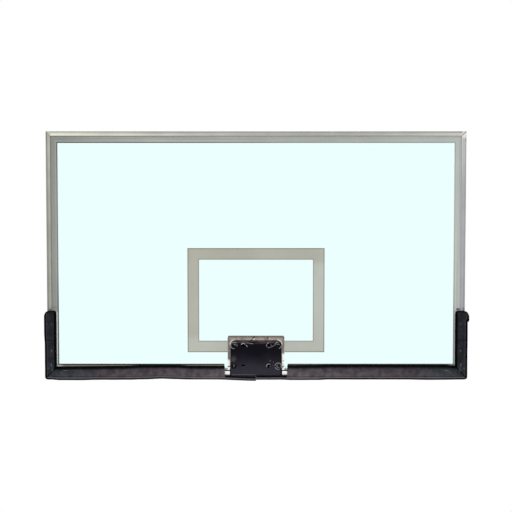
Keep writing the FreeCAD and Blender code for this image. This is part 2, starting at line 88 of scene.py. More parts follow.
# short words for the nodes used most; a step rises from 0 at its first place to 1 at its second
kinds = {
    "share": ("MapRange", {}),
    "step": ("MapRange", {"interpolation_type": "SMOOTHSTEP"}),
    "ramp": ("ValToRGB", {}),
    "mix": ("Mix", {"data_type": "RGBA"}),
    "tint": ("Mix", {"data_type": "RGBA", "blend_type": "MULTIPLY"}),
}
operations = {
    "Math": {"times": "MULTIPLY", "over": "DIVIDE", "plus": "ADD", "minus": "SUBTRACT", "size": "ABSOLUTE",
             "timesPlus": "MULTIPLY_ADD", "least": "MINIMUM", "most": "MAXIMUM"},
    "VectorMath": {"offset": "SUBTRACT", "spread": "MULTIPLY", "scaled": "SCALE", "length": "LENGTH",
                   "heading": "NORMALIZE", "toward": "DOT_PRODUCT"},
}
for family, words in operations.items():
    for word, operation in words.items():
        kinds[word] = (family, {"operation": operation})


def setStops(elements, stops):  # fills a colour ramp with (position, tone)
    while len(elements) < len(stops):
        elements.new(0.5)
    for element, (position, tone) in zip(elements, stops):
        element.position = position
        element.color = colour(tone)


def addNode(tree, kind, *links, **settings):  # one node, set and linked, gives its first live output
    family, fixed = kinds.get(kind, (kind, {}))
    made = tree.nodes.new(family if "Node" in family else "ShaderNode" + family)
    for key, value in {**fixed, **settings}.items():
        if key == "stops":
            setStops(made.color_ramp.elements, list(value))
        else:
            setattr(made, key, value)
    live = [s for s in made.inputs if s.enabled]
    named = {s.name: s for s in reversed(live)}
    byName = links and isinstance(links[0], dict)  # links come in the sockets' order or by their names
    for key, value in links[0].items() if byName else enumerate(links):
        socket = named[key] if byName else live[key]
        if isinstance(value, bpy.types.NodeSocket):
            tree.links.new(value, socket)
        else:
            socket.default_value = colour(value)
    shown = [s for s in made.outputs if s.enabled]
    return shown[0] if shown else made


def newMaterial(name):  # a clear material, and what adds a node to it
    made = bpy.data.materials.new(name)
    made.use_nodes = True
    made.node_tree.nodes.clear()
    return made, partial(addNode, made.node_tree)


def finishSurface(add, values, height=None, relief=None):  # relief is a bump's strength and its depth
    if relief:
        strength, depth = relief
        values["Normal"] = add("Bump", {"Height": height, "Strength": strength, "Distance": depth * mm})
    add("OutputMaterial", add("BsdfPrincipled", values))


def mattSurface(add, tone, form, height):  # a dull skin with a relief
    values = {"Base Color": tone, "Roughness": form["roughness"], "Specular IOR Level": form["specular"]}
    finishSurface(add, values, height, form["relief"])


def place(add):  # object coordinates in millimetres, whole and apart
    point = add("scaled", add("TexCoord").node.outputs["Object"], 1 / mm)
    apart = add("SeparateXYZ", point).node.outputs
    return point, apart["X"], apart["Z"]


def grain(add, point, size, detail=3.0, seed=0.0):  # noise of one size, or of one along each axis
    sizes = size if isinstance(size, (list, tuple)) else [size] * 3
    mapped = add("Mapping", {"Vector": point, "Location": [seed] * 3, "Scale": [1 / s for s in sizes]})
    return add("TexNoise", {"Vector": mapped, "Scale": 1.0, "Detail": detail})


noiseSpan = (0.3, 0.7)  # most of a noise lies between these values


def varied(add, tone, pattern, shades, span=noiseSpan):  # darker and lighter by a pattern
    return add("tint", 1.0, tone, add("step", pattern, *span, *shades))


def laid(add, under, over, mask, most=1.0):  # a tone over another where a mask shows
    return add("mix", add("times", mask, most), under, over)


def allOf(add, mask, *others):  # where every mask shows
    for other in others:
        mask = add("times", mask, other)
    return mask


def shaded(add, under, value, stops, most=1.4):  # a colour times a profile of (position, share up to most)
    greys = [(position, [share / most] * 3 + [1.0]) for position, share in stops]
    return add("tint", 1.0, under, add("scaled", add("ramp", value, stops=greys), most))


def inset(add, x, z, left, right, low, high):  # how far a point lies inside a rectangle
    sides = [add("timesPlus", value, sign, -sign * edge)
             for value, edge, sign in ((x, left, 1), (x, right, -1), (z, low, 1), (z, high, -1))]
    nearest = sides[0]
    for side in sides[1:]:
        nearest = add("least", nearest, side)
    return nearest


markBlur = {"ring": 0.8, "stroke": 0.9, "turn": 0.1}  # how softly a mark ends


def flatFrom(add, point, x, z):  # offset from a place in the board's plane
    return add("spread", add("offset", point, (x, 0, z)), (1, 0, 1))


def ringMark(add, point, x, z, inner, outer, facing=0.0, half=180.0):  # a ring, or a part of one
    off = flatFrom(add, point, x, z)
    radius = add("length", off)
    mark = add("step", radius, outer + markBlur["ring"], outer)
    if inner > 0:
        mark = allOf(add, mark, add("step", radius, inner - markBlur["ring"], inner))
    if half < 180:
        turn = math.radians(facing)
        edge = math.cos(math.radians(half))
        facingIt = add("toward", add("heading", off), (math.cos(turn), 0, math.sin(turn)))
        mark = allOf(add, mark, add("step", facingIt, edge - markBlur["turn"], edge + markBlur["turn"]))
    return mark


def strokeMark(add, point, start, end, width):  # a stroke with round ends
    off = flatFrom(add, point, *start)
    line = Vector((end[0] - start[0], 0, end[1] - start[1]))
    share = add("times", add("toward", off, line / line.length_squared), 1.0, use_clamp=True)
    distance = add("length", add("offset", off, add("scaled", line, share)))
    return add("step", distance, width / 2 + markBlur["stroke"], width / 2)


# satin anodised aluminium, extruded: fine die lines along the bar, painted light and shade in each bar's
# tones and along its outer radius, a sawn joint at each mitre, and darker patches just above the side pads
railFinish = {
    # each bar's tones hold painted light and shade: the bars differ from one another and along their length,
    # and the middle of the bottom rail holds a painted reflection
    "top_rail": {"axis": 0, "litAndShadedTones": ["#d4d4c4", "#b1b1ac", "#aaaaa5", "#b0b0a9"],
                 "ground": (38.0, 21.0, "#c2c2ba"),  # ends and is whole this far from the corner
                 "edgeShade": [(0.0, 0.55), (0.35, 0.80), (0.7, 0.80), (1.0, 0.62)]},
    "bottom_rail": {"axis": 0, "litAndShadedTones": ["#b4b4ae", "#f7f6f5", "#f7f6f5", "#b4b4ae"],
                    "edgeShade": [(0.0, 0.85), (1.0, 0.85)]},
    "left_stile": {"axis": 2, "litAndShadedTones": ["#989994", "#9c9c93", "#9d9d94", "#a4a49a"],
                   "edgeShade": [(0.0, 0.78), (0.8, 0.78), (1.0, 0.60)]},
    "right_stile": {"axis": 2, "litAndShadedTones": ["#a7a7ad", "#a6a6ac", "#a5a5aa", "#acacaa"],
                    "ground": (46.0, 26.6, "#dbdbd0"), "edgeShade": [(0.0, 0.80), (1.0, 0.80)]},
    "stops": (0.0, 0.35, 0.65, 1.0),  # where the tones lie along a bar
    # die lines are drawn coarser than real ones, which are too fine to show
    "dieLine": 3.0, "dieLength": 900.0, "dieShades": (0.80, 1.14),
    "cloud": 90.0, "cloudShades": (0.93, 1.05), "roughness": (0.48, 0.36), "relief": (0.10, 0.3),
    "edgeShadeReach": (8.0, 6.0), "joint": (0.6, 2.6), "jointShade": 0.16,
    "groundStroke": 5.0, "groundRagged": 16.0, "groundShares": (0.36, 0.6, 0.3, 1.0),
    "filledCorner": (22.0, 18.0), "filledTone": "#a9a7a0", "filled": 0.75, "cornerFade": 100.0,
    "dents": [(876.0, 961.5, 3.6), (898.0, 930.0, 3.4), (898.0, 962.0, 3.6), (-898.0, 962.5, 3.6)],
    "dentTone": "#6c6c66", "dentShare": 0.8, "filledShare": 0.85, "abovePadShare": 0.75,
    # beside the mount, each from its height up: a painted shadow line along the lip's inner edge, then white
    # painted for the light seen through the clear glass
    "footShadeAndLight": [(-67.4, -66.2, "#17171a"), (-64.5, -62.5, "#ffffff")], "footReach": (141.0, 140.0),
    "abovePadTone": "#3f4544", "abovePadRise": (20.0, 2.0), "abovePadSize": 9.0, "abovePadShares": (0.34, 0.52),
}


def anodisedAluminium(node):
    own, form = railFinish[node], railFinish
    made, add = newMaterial("anodised_aluminium_" + node)
    point, x, z = place(add)
    run, low, high = (x, -halfWidth, halfWidth) if own["axis"] == 0 else (z, lowerEdge, upperEdge)
    share = add("share", run, low, high)
    tone = add("ramp", share, stops=zip(form["stops"], own["litAndShadedTones"]))
    sizes = [form["dieLine"]] * 3
    sizes[own["axis"]] = form["dieLength"]
    lines = grain(add, point, sizes, detail=4.0, seed=3.1)
    tone = varied(add, tone, lines, form["dieShades"])
    tone = varied(add, tone, grain(add, point, form["cloud"], detail=4.0, seed=7.7), form["cloudShades"])
    depth = inset(add, x, z, -halfWidth, halfWidth, lowerEdge, upperEdge)
    # painted shade along the outer radius of each bar
    tone = add("mix", add("step", depth, *form["edgeShadeReach"]), tone, shaded(add, tone, share, own["edgeShade"]))
    # the mitre: as far from the side as from the top or bottom
    sideways = add("minus", halfWidth, add("size", x))
    upright = add("minus", upperEdge - middle, add("size", add("minus", z, middle)))
    offMitre = add("size", add("minus", sideways, upright))
    joint = add("step", offMitre, *form["joint"], form["jointShade"], 1.0)
    if "ground" in own:  # the one corner that was ground after assembly
        gone, full, bright = own["ground"]
        strokes = grain(add, point, form["groundStroke"], detail=3.0, seed=6.6)
        ragged = add("timesPlus", strokes, form["groundRagged"], add("minus", high, run))
        bare = allOf(add, add("step", ragged, gone, full), add("step", strokes, *form["groundShares"]))
        tone = add("mix", bare, tone, bright)
    if node in ("top_rail", "left_stile"):  # the other corner is dull, and its joint is filled
        span, fade = form["filledCorner"], form["cornerFade"]
        corner = allOf(add, add("step", sideways, *span), add("step", upright, *span),
                       add("step", x, 0.0, -fade), add("step", z, middle, middle + fade))
        if node == "top_rail":
            tone = laid(add, tone, form["filledTone"], corner, form["filledShare"])
        joint = add("most", joint, add("times", corner, form["filled"]))
    tone = add("tint", 1.0, tone, joint)
    for dentX, dentZ, size in form["dents"]:
        if node == "top_rail" or node == "right_stile" and dentX > 0:
            dent = ringMark(add, point, dentX, dentZ, 0.0, size)
            tone = laid(add, tone, form["dentTone"], dent, form["dentShare"])
    metal = 1.0
    if node == "bottom_rail":
        near = add("step", add("size", x), *form["footReach"])
        for start, end, paint in form["footShadeAndLight"]:
            band = allOf(add, add("step", z, start, end), near)
            tone = add("mix", band, tone, paint)
        metal = add("minus", 1.0, band)  # the last band is white painted for the light through the glass, and not metal
    if own["axis"] == 2:  # darker in patches just above each side pad
        padTop = boxOf("left_side_pad")[1].z
        above = add("step", z, *(padTop + rise for rise in form["abovePadRise"]))
        patchy = add("step", grain(add, point, form["abovePadSize"], detail=2.0, seed=1.4), *form["abovePadShares"])
        tone = laid(add, tone, form["abovePadTone"], allOf(add, above, patchy), form["abovePadShare"])
    rough = add("step", lines, *noiseSpan, *form["roughness"])
    finishSurface(add, {"Base Color": tone, "Metallic": metal, "Roughness": rough}, lines, form["relief"])
    return made


# mill-finish aluminium bar for the keys inside the frame: plain saw marks
keyFinish = {"tone": "#a9aaa8", "saw": (0.8, 14.0, 14.0), "sawSpan": (0.2, 0.8), "shades": (0.8, 1.1),
             "roughness": (0.5, 0.38)}


def millAluminium():
    made, add = newMaterial("mill_aluminium_bar")
    saw = grain(add, place(add)[0], keyFinish["saw"], seed=2.0)
    tone = varied(add, keyFinish["tone"], saw, keyFinish["shades"])
    rough = add("step", saw, *keyFinish["sawSpan"], *keyFinish["roughness"])
    finishSurface(add, {"Base Color": tone, "Metallic": 1.0, "Roughness": rough})
    return made


for railName in ("top_rail", "bottom_rail", "left_stile", "right_stile"):
    dress(anodisedAluminium(railName), railName)
dress(millAluminium(), "bottom_left_corner_key", "bottom_right_corner_key", "top_left_corner_key",
      "top_right_corner_key")
print("frame finished")

# tempered soda-lime float glass, polished: clear, with the green-blue cast of its iron
glassFinish = {"tint": "#ebffff", "shadow": "#f7ffff", "ior": 1.52}


def temperedGlass():
    made, add = newMaterial("tempered_float_glass")
    sheet = add("BsdfPrincipled", {"Base Color": glassFinish["tint"], "IOR": glassFinish["ior"],
                                   "Roughness": 0.0, "Transmission Weight": 1.0})
    clear = add("BsdfTransparent", {"Color": glassFinish["shadow"]})
    shadow = add("LightPath").node.outputs["Is Shadow Ray"]
    add("OutputMaterial", add("MixShader", shadow, sheet, clear))
    return made


dress(temperedGlass(), "glass_panel")

# fired ceramic ink, screen printed: flat and matt, streaked along each line, darker along its edges, darker
# in patches above the side pads, with painted light and shade: lighter towards the right, lighter beside the
# side pads, shaded next to the frame's lip and on the lower strip below the bottom pads
inkFinish = {
    "boundary_line": {
        "rect": (-halfWidth, halfWidth, lowerEdge, upperEdge), "width": 50.0, "streaked": 0.10,
        # the tones hold painted light: lighter towards the right
        "sides": [(0.0, "#8e918b"), (1.0, "#b1b5b1")], "bottom": "#655d51",
        "shelterLight": [(0.45, "#d8dad2"), (0.55, "#b9bbb8")],
        "top": [(0.04, "#8a8d87"), (0.10, "#969893"), (0.20, "#9fa19c"), (0.30, "#a2a49f"),
                (0.80, "#a3a6a2"), (0.97, "#adb1ad")],
        "shelter": (284.0, 262.0),  # beside the side pads, up to this height
        # across the line: painted shade next to the frame's lip, a lighter band, then a darker inner edge
        "profile": [(0.40, 0.96), (0.50, 1.0), (0.72, 1.0), (0.79, 1.18), (0.885, 1.18), (0.91, 0.70),
                    (1.0, 0.66)]},
    "target_square": {
        "rect": (-295.0, 295.0, 14.5, 464.5), "width": 50.0, "streaked": 0.03,
        "sides": [(0.0, "#b1b1a5"), (1.0, "#b9beb6")], "bottom": "#babdb3",
        "top": [(0.0, "#adada0"), (1.0, "#adada0")],
        "profile": [(0.0, 0.52), (0.07, 0.56), (0.10, 1.0), (0.90, 1.0), (0.935, 0.68), (1.0, 0.62)]},
    # darker patches just above the side pads, as strokes from and to, width, share
    "abovePadStrokes": [((867.0, 201.0), (884.0, 199.0), 8.0, 0.8), ((879.0, 208.0), (876.0, 199.0), 5.0, 0.6),
               ((-879.0, 211.0), (-861.0, 209.0), 3.0, 0.4)],
    "abovePadInk": "#2c3736", "turn": 30.0,  # how far the tones of the top and bottom run on into the sides
    "topShare": 0.8, "bottomShare": 0.9, "cleanEnd": (-25.0, 4.0), "endShares": (1.0, 0.35), "lowBlur": 1.0,
    "faintEdge": (-400.0, 300.0, 1.0, 0.45), "deepEdge": "#656565", "deepLow": (450.0, 250.0),
    "deepHigh": (250.0, 50.0), "highShares": (0.0, 0.5), "deepSide": (-700.0, 500.0, 1.0, 0.25),
    "deepFrom": (0.89, 0.92), "cloud": 160.0, "cloudShades": (0.95, 1.04),
    # streaks and specks are drawn coarser than real ones, which are too fine to show
    "streak": (2.6, 500.0, 500.0), "streakSpan": (0.32, 0.68),
    "speckle": 1.6, "speckShades": (0.96, 1.04), "speckSpan": (0.35, 0.65),
    "roughness": 0.7, "specular": 0.15, "relief": (0.15, 0.2),
}


def firedInk(node):
    own, form = inkFinish[node], inkFinish
    border = node == "boundary_line"
    made, add = newMaterial("fired_ceramic_ink_" + node)
    point, x, z = place(add)
    left, right, low, high = own["rect"]
    wide, turn, blur = own["width"], form["turn"], form["lowBlur"]
    deep = inset(add, x, z, *own["rect"])
    across = add("over", deep, wide)
    share = add("share", x, left, right)
    tone = add("ramp", share, stops=own["sides"])
    upper = add("step", z, high - wide - turn, high - wide)
    tone = laid(add, tone, add("ramp", share, stops=own["top"]), upper, form["topShare"])
    if border:  # painted lighter beside the side pads against their shade; the lower strip is painted darker, apart from its ends, as shade of the bottom pads
        sheltered = add("step", z, *(low + rise for rise in own["shelter"]))
        tone = add("mix", sheltered, tone, add("ramp", share, stops=own["shelterLight"]))
        ends = add("step", add("size", x), *(right - wide + off for off in form["cleanEnd"]),
                   *form["endShares"])
        lower = allOf(add, add("step", z, low + wide + blur, low + wide - blur), ends)
    else:
        lower = add("step", z, low + wide + turn, low + wide)
    # on the boundary line the lower strip's tone is painted shade from the bottom pads
    tone = laid(add, tone, own["bottom"], lower, form["bottomShare"])
    faint = add("step", x, *form["faintEdge"]) if border else 1.0
    tone = add("mix", faint, tone, shaded(add, tone, across, own["profile"]))
    if border:  # the inner edge is darkest low on the left and near the upper corner
        lowest = add("step", z, *(low + rise for rise in form["deepLow"]))
        highest = add("step", z, *(high - drop for drop in form["deepHigh"]), *form["highShares"])
        dark = allOf(add, add("most", lowest, highest), add("step", x, *form["deepSide"]),
                     add("step", across, *form["deepFrom"]))
        tone = add("tint", dark, tone, form["deepEdge"])
        for start, end, width, most in form["abovePadStrokes"]:
            tone = laid(add, tone, form["abovePadInk"], strokeMark(add, point, start, end, width), most)
    # streaks run beside the edge, so they turn the corners with it
    streak = grain(add, add("CombineXYZ", deep, x, z), form["streak"])
    tone = varied(add, tone, streak, (1 - own["streaked"], 1 + own["streaked"]), form["streakSpan"])
    speck = grain(add, point, form["speckle"], detail=2.0)
    tone = varied(add, tone, speck, form["speckShades"], form["speckSpan"])
    tone = varied(add, tone, grain(add, point, form["cloud"], detail=4.0, seed=4.2), form["cloudShades"])
    mattSurface(add, tone, form, speck)
    return made


for inkName in ("boundary_line", "target_square"):
    dress(firedInk(inkName), inkName)
print("glass and lines finished")

# extruded EPDM rubber: matt, black where it is out of the light, pale grey fins along the front lip painted
# lighter towards the right, with painted shade on the lower fins
rubberFinish = {"bloom": "#6d706f", "bloomSize": 25.0, "bloomSpan": (0.5, 0.75, 0.0, 0.35),
                # tones of the left, the middle and the right
                "plain": ["#2b2c2d"] * 3, "fins": ["#868884", "#a3a5a2", "#b2b5b3"],
                "lowFinShade": "#161618", "lowFinShadeBelow": (55.0, 45.0),
                "skin": 0.6, "relief": (0.2, 0.2), "roughness": 0.75, "specular": 0.2}


def extrudedRubber(name, kind):
    form = rubberFinish
    made, add = newMaterial(name)
    point, x, z = place(add)
    tone = add("ramp", add("share", x, -halfWidth, halfWidth), stops=zip((0.0, 0.5, 1.0), form[kind]))
    chalk = add("step", grain(add, point, form["bloomSize"], detail=5.0), *form["bloomSpan"])
    tone = add("mix", chalk, tone, form["bloom"])
    if kind == "fins":  # the lower fins are painted near black, as shade along the bottom lip's edge
        lower = add("step", z, *(lowerEdge + rise for rise in form["lowFinShadeBelow"]))
        tone = add("mix", lower, tone, form["lowFinShade"])
    mattSurface(add, tone, form, grain(add, point, form["skin"], detail=2.0))
    return made


dress(extrudedRubber("extruded_rubber", "plain"), "top_gasket", "left_gasket", "right_gasket",
      "bottom_left_gasket", "bottom_right_gasket", "notch_gasket", "setting_blocks")

# powder-coated steel: blue-black with fine orange peel, a painted reflection that lightens the goal plate
# towards the bottom, painted shade along its side edges, bare metal where washers and spanners have worn the
# rims, painted highlights on the rims and glints in the tapped holes, a few scratches
coatFinish = {
    # the goal plate runs from deep to the reflection tone as painted reflection; on the bracket the two make
    # a mottle
    "deep": "#0b0a13", "reflectionAndMottle": "#312f39", "cloud": 55.0, "cloudSpan": (0.35, 0.7, 0.05, 0.45),
    "reflectionFrom": 30.0, "reflectionCloud": 0.5, "reflectionSpan": (0.35, 1.25),
    "bareAndHighlight": "#b9b7b8", "chips": 4.0, "chipSpan": (0.36, 0.5, 0.35, 1.0),
    # a brown film under the plate's upper edge
    "brown": "#554848", "film": (38.0, 38.0, 4.0), "filmSpan": (0.35, 0.6), "filmDrop": (17.0, 8.0),
    "smudge": (-97.0, -14.0), "smudgeSize": (18.0, 5.4), "smudgeTone": "#4a464a", "smudgeGrain": 9.0,
    "smudgeSpan": (0.4, 0.6, 0.35, 1.0), "smudgeShare": 0.8, "gapShadeShare": 0.85,
    # painted shade along the plate's side edges, where it meets the trim
    "gapShade": "#030206", "rightGapShade": (6.5, 5.0), "leftGapShade": (4.5, 3.0), "leftBelow": (-8.0, -20.0),
    # orange peel is drawn coarser than the real one, which is too fine to show
    "peel": 2.2, "relief": (0.25, 0.3), "roughness": 0.5, "specular": 0.05,
}
# rings as (x, z, inner radius, outer radius, facing, half angle, share)
# and strokes as (start, end, width, share)
# worn rims and scratches, with painted highlights on the hole rims and along the lower edge
plateMarks = {
    "bare": coatFinish["bareAndHighlight"],
    "rings": [(-95.5, 45, 12.6, 14.8, 165, 115, 0.55), (-95.5, 45, 12.6, 14.4, 5, 25, 0.4),
              (-55, 45, 7.6, 10.0, 95, 62, 0.95), (55, 45, 8.2, 10.4, 180, 28, 0.55),
              (55, 45, 8.2, 10.2, 112, 16, 0.55), (55, 45, 8.4, 10.4, 268, 24, 0.55),
              (55, 45, 9.2, 11.2, 8, 16, 0.45),
              (95.5, 45, 12.6, 14.8, 130, 36, 0.65), (95.5, 45, 12.6, 14.8, -40, 34, 0.55),
              (55, -45, 8.2, 10.6, 125, 75, 0.55), (95.5, -45, 12.6, 14.8, 70, 100, 0.6),
              (95.5, -45, 12.6, 14.6, 245, 50, 0.5)],
    "strokes": [((58, 36), (70, 40), 1.4, 0.38), ((70, 40), (84, 48), 1.4, 0.45),
                ((-43, 46), (-37, 40), 1.6, 0.8), ((-40, 55.5), (-27, 53.5), 1.8, 0.30),
                ((-25, 53.5), (-13, 52.5), 2.2, 0.42),
                ((51, 56.5), (51.5, 55), 2.2, 0.8), ((61, -21.5), (62, -22.5), 2.6, 0.34),
                ((74.5, -25.5), (75, -26.5), 2.2, 0.28), ((72, -41), (73, -42), 2.2, 0.12),
                ((-104, -82.8), (-4, -82.8), 2.4, 0.16), ((-105, -46), (-104.5, -47), 1.6, 0.4)],
}
# worn rims on the screw heads, partly painted highlights
headMarks = {
    "bare": coatFinish["bareAndHighlight"],
    "rings": [(-95.5, 45, 5.0, 6.8, 60, 60, 0.6), (95.5, 45, 5.0, 6.8, 90, 60, 0.5),
              (95.5, -45, 4.8, 6.8, 200, 120, 0.45)],
    "strokes": [((-96.0, -40.2), (-95.0, -40.2), 2.8, 0.85), ((-96.0, -47.5), (-95.0, -47.5), 2.4, 0.7)],
}
# painted glints on the bosses inside the tapped holes
bossGlints = {
    "bare": "#ffffff",
    "rings": [(-55, -45, 5.2, 8.0, -90, 34, 1.0), (55, -45, 5.2, 8.0, -20, 60, 0.8)],
    "strokes": [],
}


def bareAndHighlightTo(add, tone, point, marks):  # bare metal and painted highlights over a finish, broken up a little
    chips = grain(add, point, coatFinish["chips"], detail=2.0, seed=5.5)
    chips = add("step", chips, *coatFinish["chipSpan"])
    found = [(ringMark(add, point, *ring), share) for *ring, share in marks["rings"]]
    found += [(strokeMark(add, point, *stroke), share) for *stroke, share in marks["strokes"]]
    for mark, share in found:
        tone = laid(add, tone, marks["bare"], allOf(add, mark, chips), share)
    return tone


def plateReflectionAndMarks(add, point, x, z, cloud):  # painted reflection, film, smudge and painted edge shade on the face of the goal plate
    form = coatFinish
    low, high = boxOf("goal_plate")
    height = add("timesPlus", cloud, form["reflectionCloud"], add("share", z, high.z - form["reflectionFrom"], low.z))
    tone = add("mix", add("step", height, *form["reflectionSpan"]), form["deep"], form["reflectionAndMottle"])
    film = allOf(add, add("step", grain(add, point, form["film"], detail=3.0, seed=2.2), *form["filmSpan"]),
                 add("step", z, *(high.z - drop for drop in form["filmDrop"])))
    tone = add("mix", film, tone, form["brown"])
    rub = add("step", add("length", flatFrom(add, point, *form["smudge"])), *form["smudgeSize"])
    patchy = add("step", grain(add, point, form["smudgeGrain"], detail=4.0, seed=6.1), *form["smudgeSpan"])
    tone = laid(add, tone, form["smudgeTone"], allOf(add, rub, patchy), form["smudgeShare"])
    rightEdge = add("step", x, *(high.x - off for off in form["rightGapShade"]))
    tone = laid(add, tone, form["gapShade"], rightEdge, form["gapShadeShare"])
    lower = add("step", z, *form["leftBelow"])
    leftEdge = add("step", x, *(low.x + off for off in form["leftGapShade"]))
    return laid(add, tone, form["gapShade"], allOf(add, leftEdge, lower), form["gapShadeShare"])


def powderCoat(name, marks=None):
    form = coatFinish
    made, add = newMaterial(name)
    point, x, z = place(add)
    cloud = grain(add, point, form["cloud"], detail=5.0, seed=9.3)
    if marks is plateMarks:
        tone = plateReflectionAndMarks(add, point, x, z, cloud)
    else:
        tone = add("mix", add("step", cloud, *form["cloudSpan"]), form["deep"], form["reflectionAndMottle"])
    if marks:
        tone = bareAndHighlightTo(add, tone, point, marks)
    mattSurface(add, tone, form, grain(add, point, form["peel"], detail=2.0))
    return made


bracketCoat = powderCoat("powder_coated_steel")
dress(powderCoat("worn_powder_coated_steel", plateMarks), "goal_plate")
dress(powderCoat("tapped_powder_coated_steel", bossGlints), "bolt_bosses")
dress(bracketCoat, "bracket_flange", "bracket_packer", "bracket_left_cheek", "bracket_right_cheek",
      "bracket_top_web", "bracket_rear_plate")

# plated and blackened screw steel: turned heads with a faint mottle
screwFinish = {
    "zinc_plated_steel": {"tone": "#b9bcc0", "mottle": "#8f9396", "metallic": 1.0, "specular": 0.5,
                          "roughness": (0.27, 0.45)},
    "blackened_screw_steel": {"tone": "#060609", "mottle": "#15151a", "metallic": 0.0, "specular": 0.08,
                              "roughness": (0.37, 0.55)},
    "spots": 3.0, "spotSpan": (0.45, 0.7, 0.0, 0.7),
}


def platedSteel(name, marks=None):
    own = screwFinish[name]
    made, add = newMaterial(name)
    point = place(add)[0]
    spots = grain(add, point, screwFinish["spots"], detail=4.0)
    tone = add("mix", add("step", spots, *screwFinish["spotSpan"]), own["tone"], own["mottle"])
    if marks:
        tone = bareAndHighlightTo(add, tone, point, marks)
    rough = add("step", spots, *noiseSpan, *own["roughness"])
    finishSurface(add, {"Base Color": tone, "Roughness": rough, "Metallic": own["metallic"],
                        "Specular IOR Level": own["specular"]})
    return made


zincSteel = platedSteel("zinc_plated_steel")
dress(zincSteel, "corner_key_screws", "rail_screws", "rail_t_nuts", "pad_screws", "pad_washers")
dress(platedSteel("blackened_screw_steel", headMarks), "goal_plate_screws")

# dull anodised trim, bent round the notch: stained brown-grey above with a dark outer edge, a scarf joint
# near the middle, painted highlights at the inner corners and low on its legs, and painted shade at its foot
trimFinish = {
    "outer": (-122.5, 122.5, -400.0, 85.0), "bandWidth": 18.0,  # tones across the band, from its outer edge
    "band": [(0.0, "#5d544d"), (0.10, "#665d56"), (0.20, "#857c75"), (0.50, "#8b837b"), (0.66, "#aaa29b"),
             (0.9, "#a59d96")],
    "legsFrom": (68.0, 56.0), "legTone": "#a59d96", "legs": "#6f665f", "legLight": (2.0, 3.0, 0.15, 0.9),
    "stain": "#6d655e", "stainSize": 16.0, "stainSpan": (0.42, 0.68, 0.0, 0.6),
    "bright": "#f4f2f0", "black": "#0c0b0c", "highlightBreakup": (5.0, 5.0, 9.0), "highlightBreakupSpan": (0.36, 0.46),
    "legHighlights": {-1: (-12.0, -24.0), 1: (18.0, 2.0)},  # the left and the right leg carry a painted highlight below these
    "legHighlightSide": 50.0, "legHighlightShare": 0.95, "glintShare": 0.65, "foot": (-61.6, -62.6),
    "cornerX": 91.5, "cornerZ": 46.0, "cornerRing": (21.0, 23.4), "cornerHalf": 42.0,
    "roughness": (0.4, 0.55),
    # joint, nicks and the dark breaks low on the legs, as strokes from and to, width, share
    "marks": [
        ("black", (-5.5, 81.5), (-14.0, 76.0), 3.6, 0.97), ("black", (-15.5, 69.5), (-22.0, 67.5), 3.0, 0.9),
        ("bright", (-4.5, 75.0), (-12.0, 71.0), 2.2, 0.5), ("black", (50.5, 82.5), (51.0, 81.5), 2.0, 0.6),
        ("black", (50.5, 77.5), (51.2, 74.0), 3.2, 0.85), ("bright", (58.0, 76.0), (60.0, 75.0), 2.2, 0.35),
        ("black", (117.0, 79.5), (118.5, 78.0), 3.6, 0.6),
        ("black", (-123.0, -47.0), (-111.0, -46.0), 4.0, 0.95),
        ("black", (112.0, -46.0), (123.0, -46.5), 2.2, 0.6)],
}


def dullTrim():
    form = trimFinish
    made, add = newMaterial("dull_anodised_trim")
    point, x, z = place(add)
    stain = grain(add, point, form["stainSize"], detail=5.0, seed=1.1)
    deep = inset(add, x, z, *form["outer"])
    tone = add("ramp", add("over", deep, form["bandWidth"]), stops=form["band"])
    legs = add("step", z, *form["legsFrom"])
    tone = add("mix", legs, tone, form["legTone"])
    tone = laid(add, tone, form["legs"], allOf(add, legs, add("step", deep, *form["legLight"])))
    tone = add("mix", add("step", stain, *form["stainSpan"]), tone, form["stain"])
    highlightBreakup = add("step", grain(add, point, form["highlightBreakup"], detail=3.0, seed=8.8), *form["highlightBreakupSpan"])
    for sign, span in form["legHighlights"].items():
        legHighlight = allOf(add, add("step", z, *span), add("step", x, 0.0, sign * form["legHighlightSide"]), highlightBreakup)
        tone = laid(add, tone, form["bright"], legHighlight, form["legHighlightShare"])
        glint = ringMark(add, point, sign * form["cornerX"], form["cornerZ"], *form["cornerRing"],
                         90 - 45 * sign, form["cornerHalf"])
        tone = laid(add, tone, form["bright"], glint, form["glintShare"])
    for paint, start, end, width, share in form["marks"]:
        tone = laid(add, tone, form[paint], strokeMark(add, point, start, end, width), share)
    # painted shade in the gap at the trim's foot
    tone = add("mix", add("step", z, *form["foot"]), tone, form["black"])
    rough = add("step", stain, *noiseSpan, *form["roughness"])
    finishSurface(add, {"Base Color": tone, "Metallic": 1.0, "Roughness": rough})
    return made


dress(dullTrim(), "notch_trim")
print("mount and trim finished")

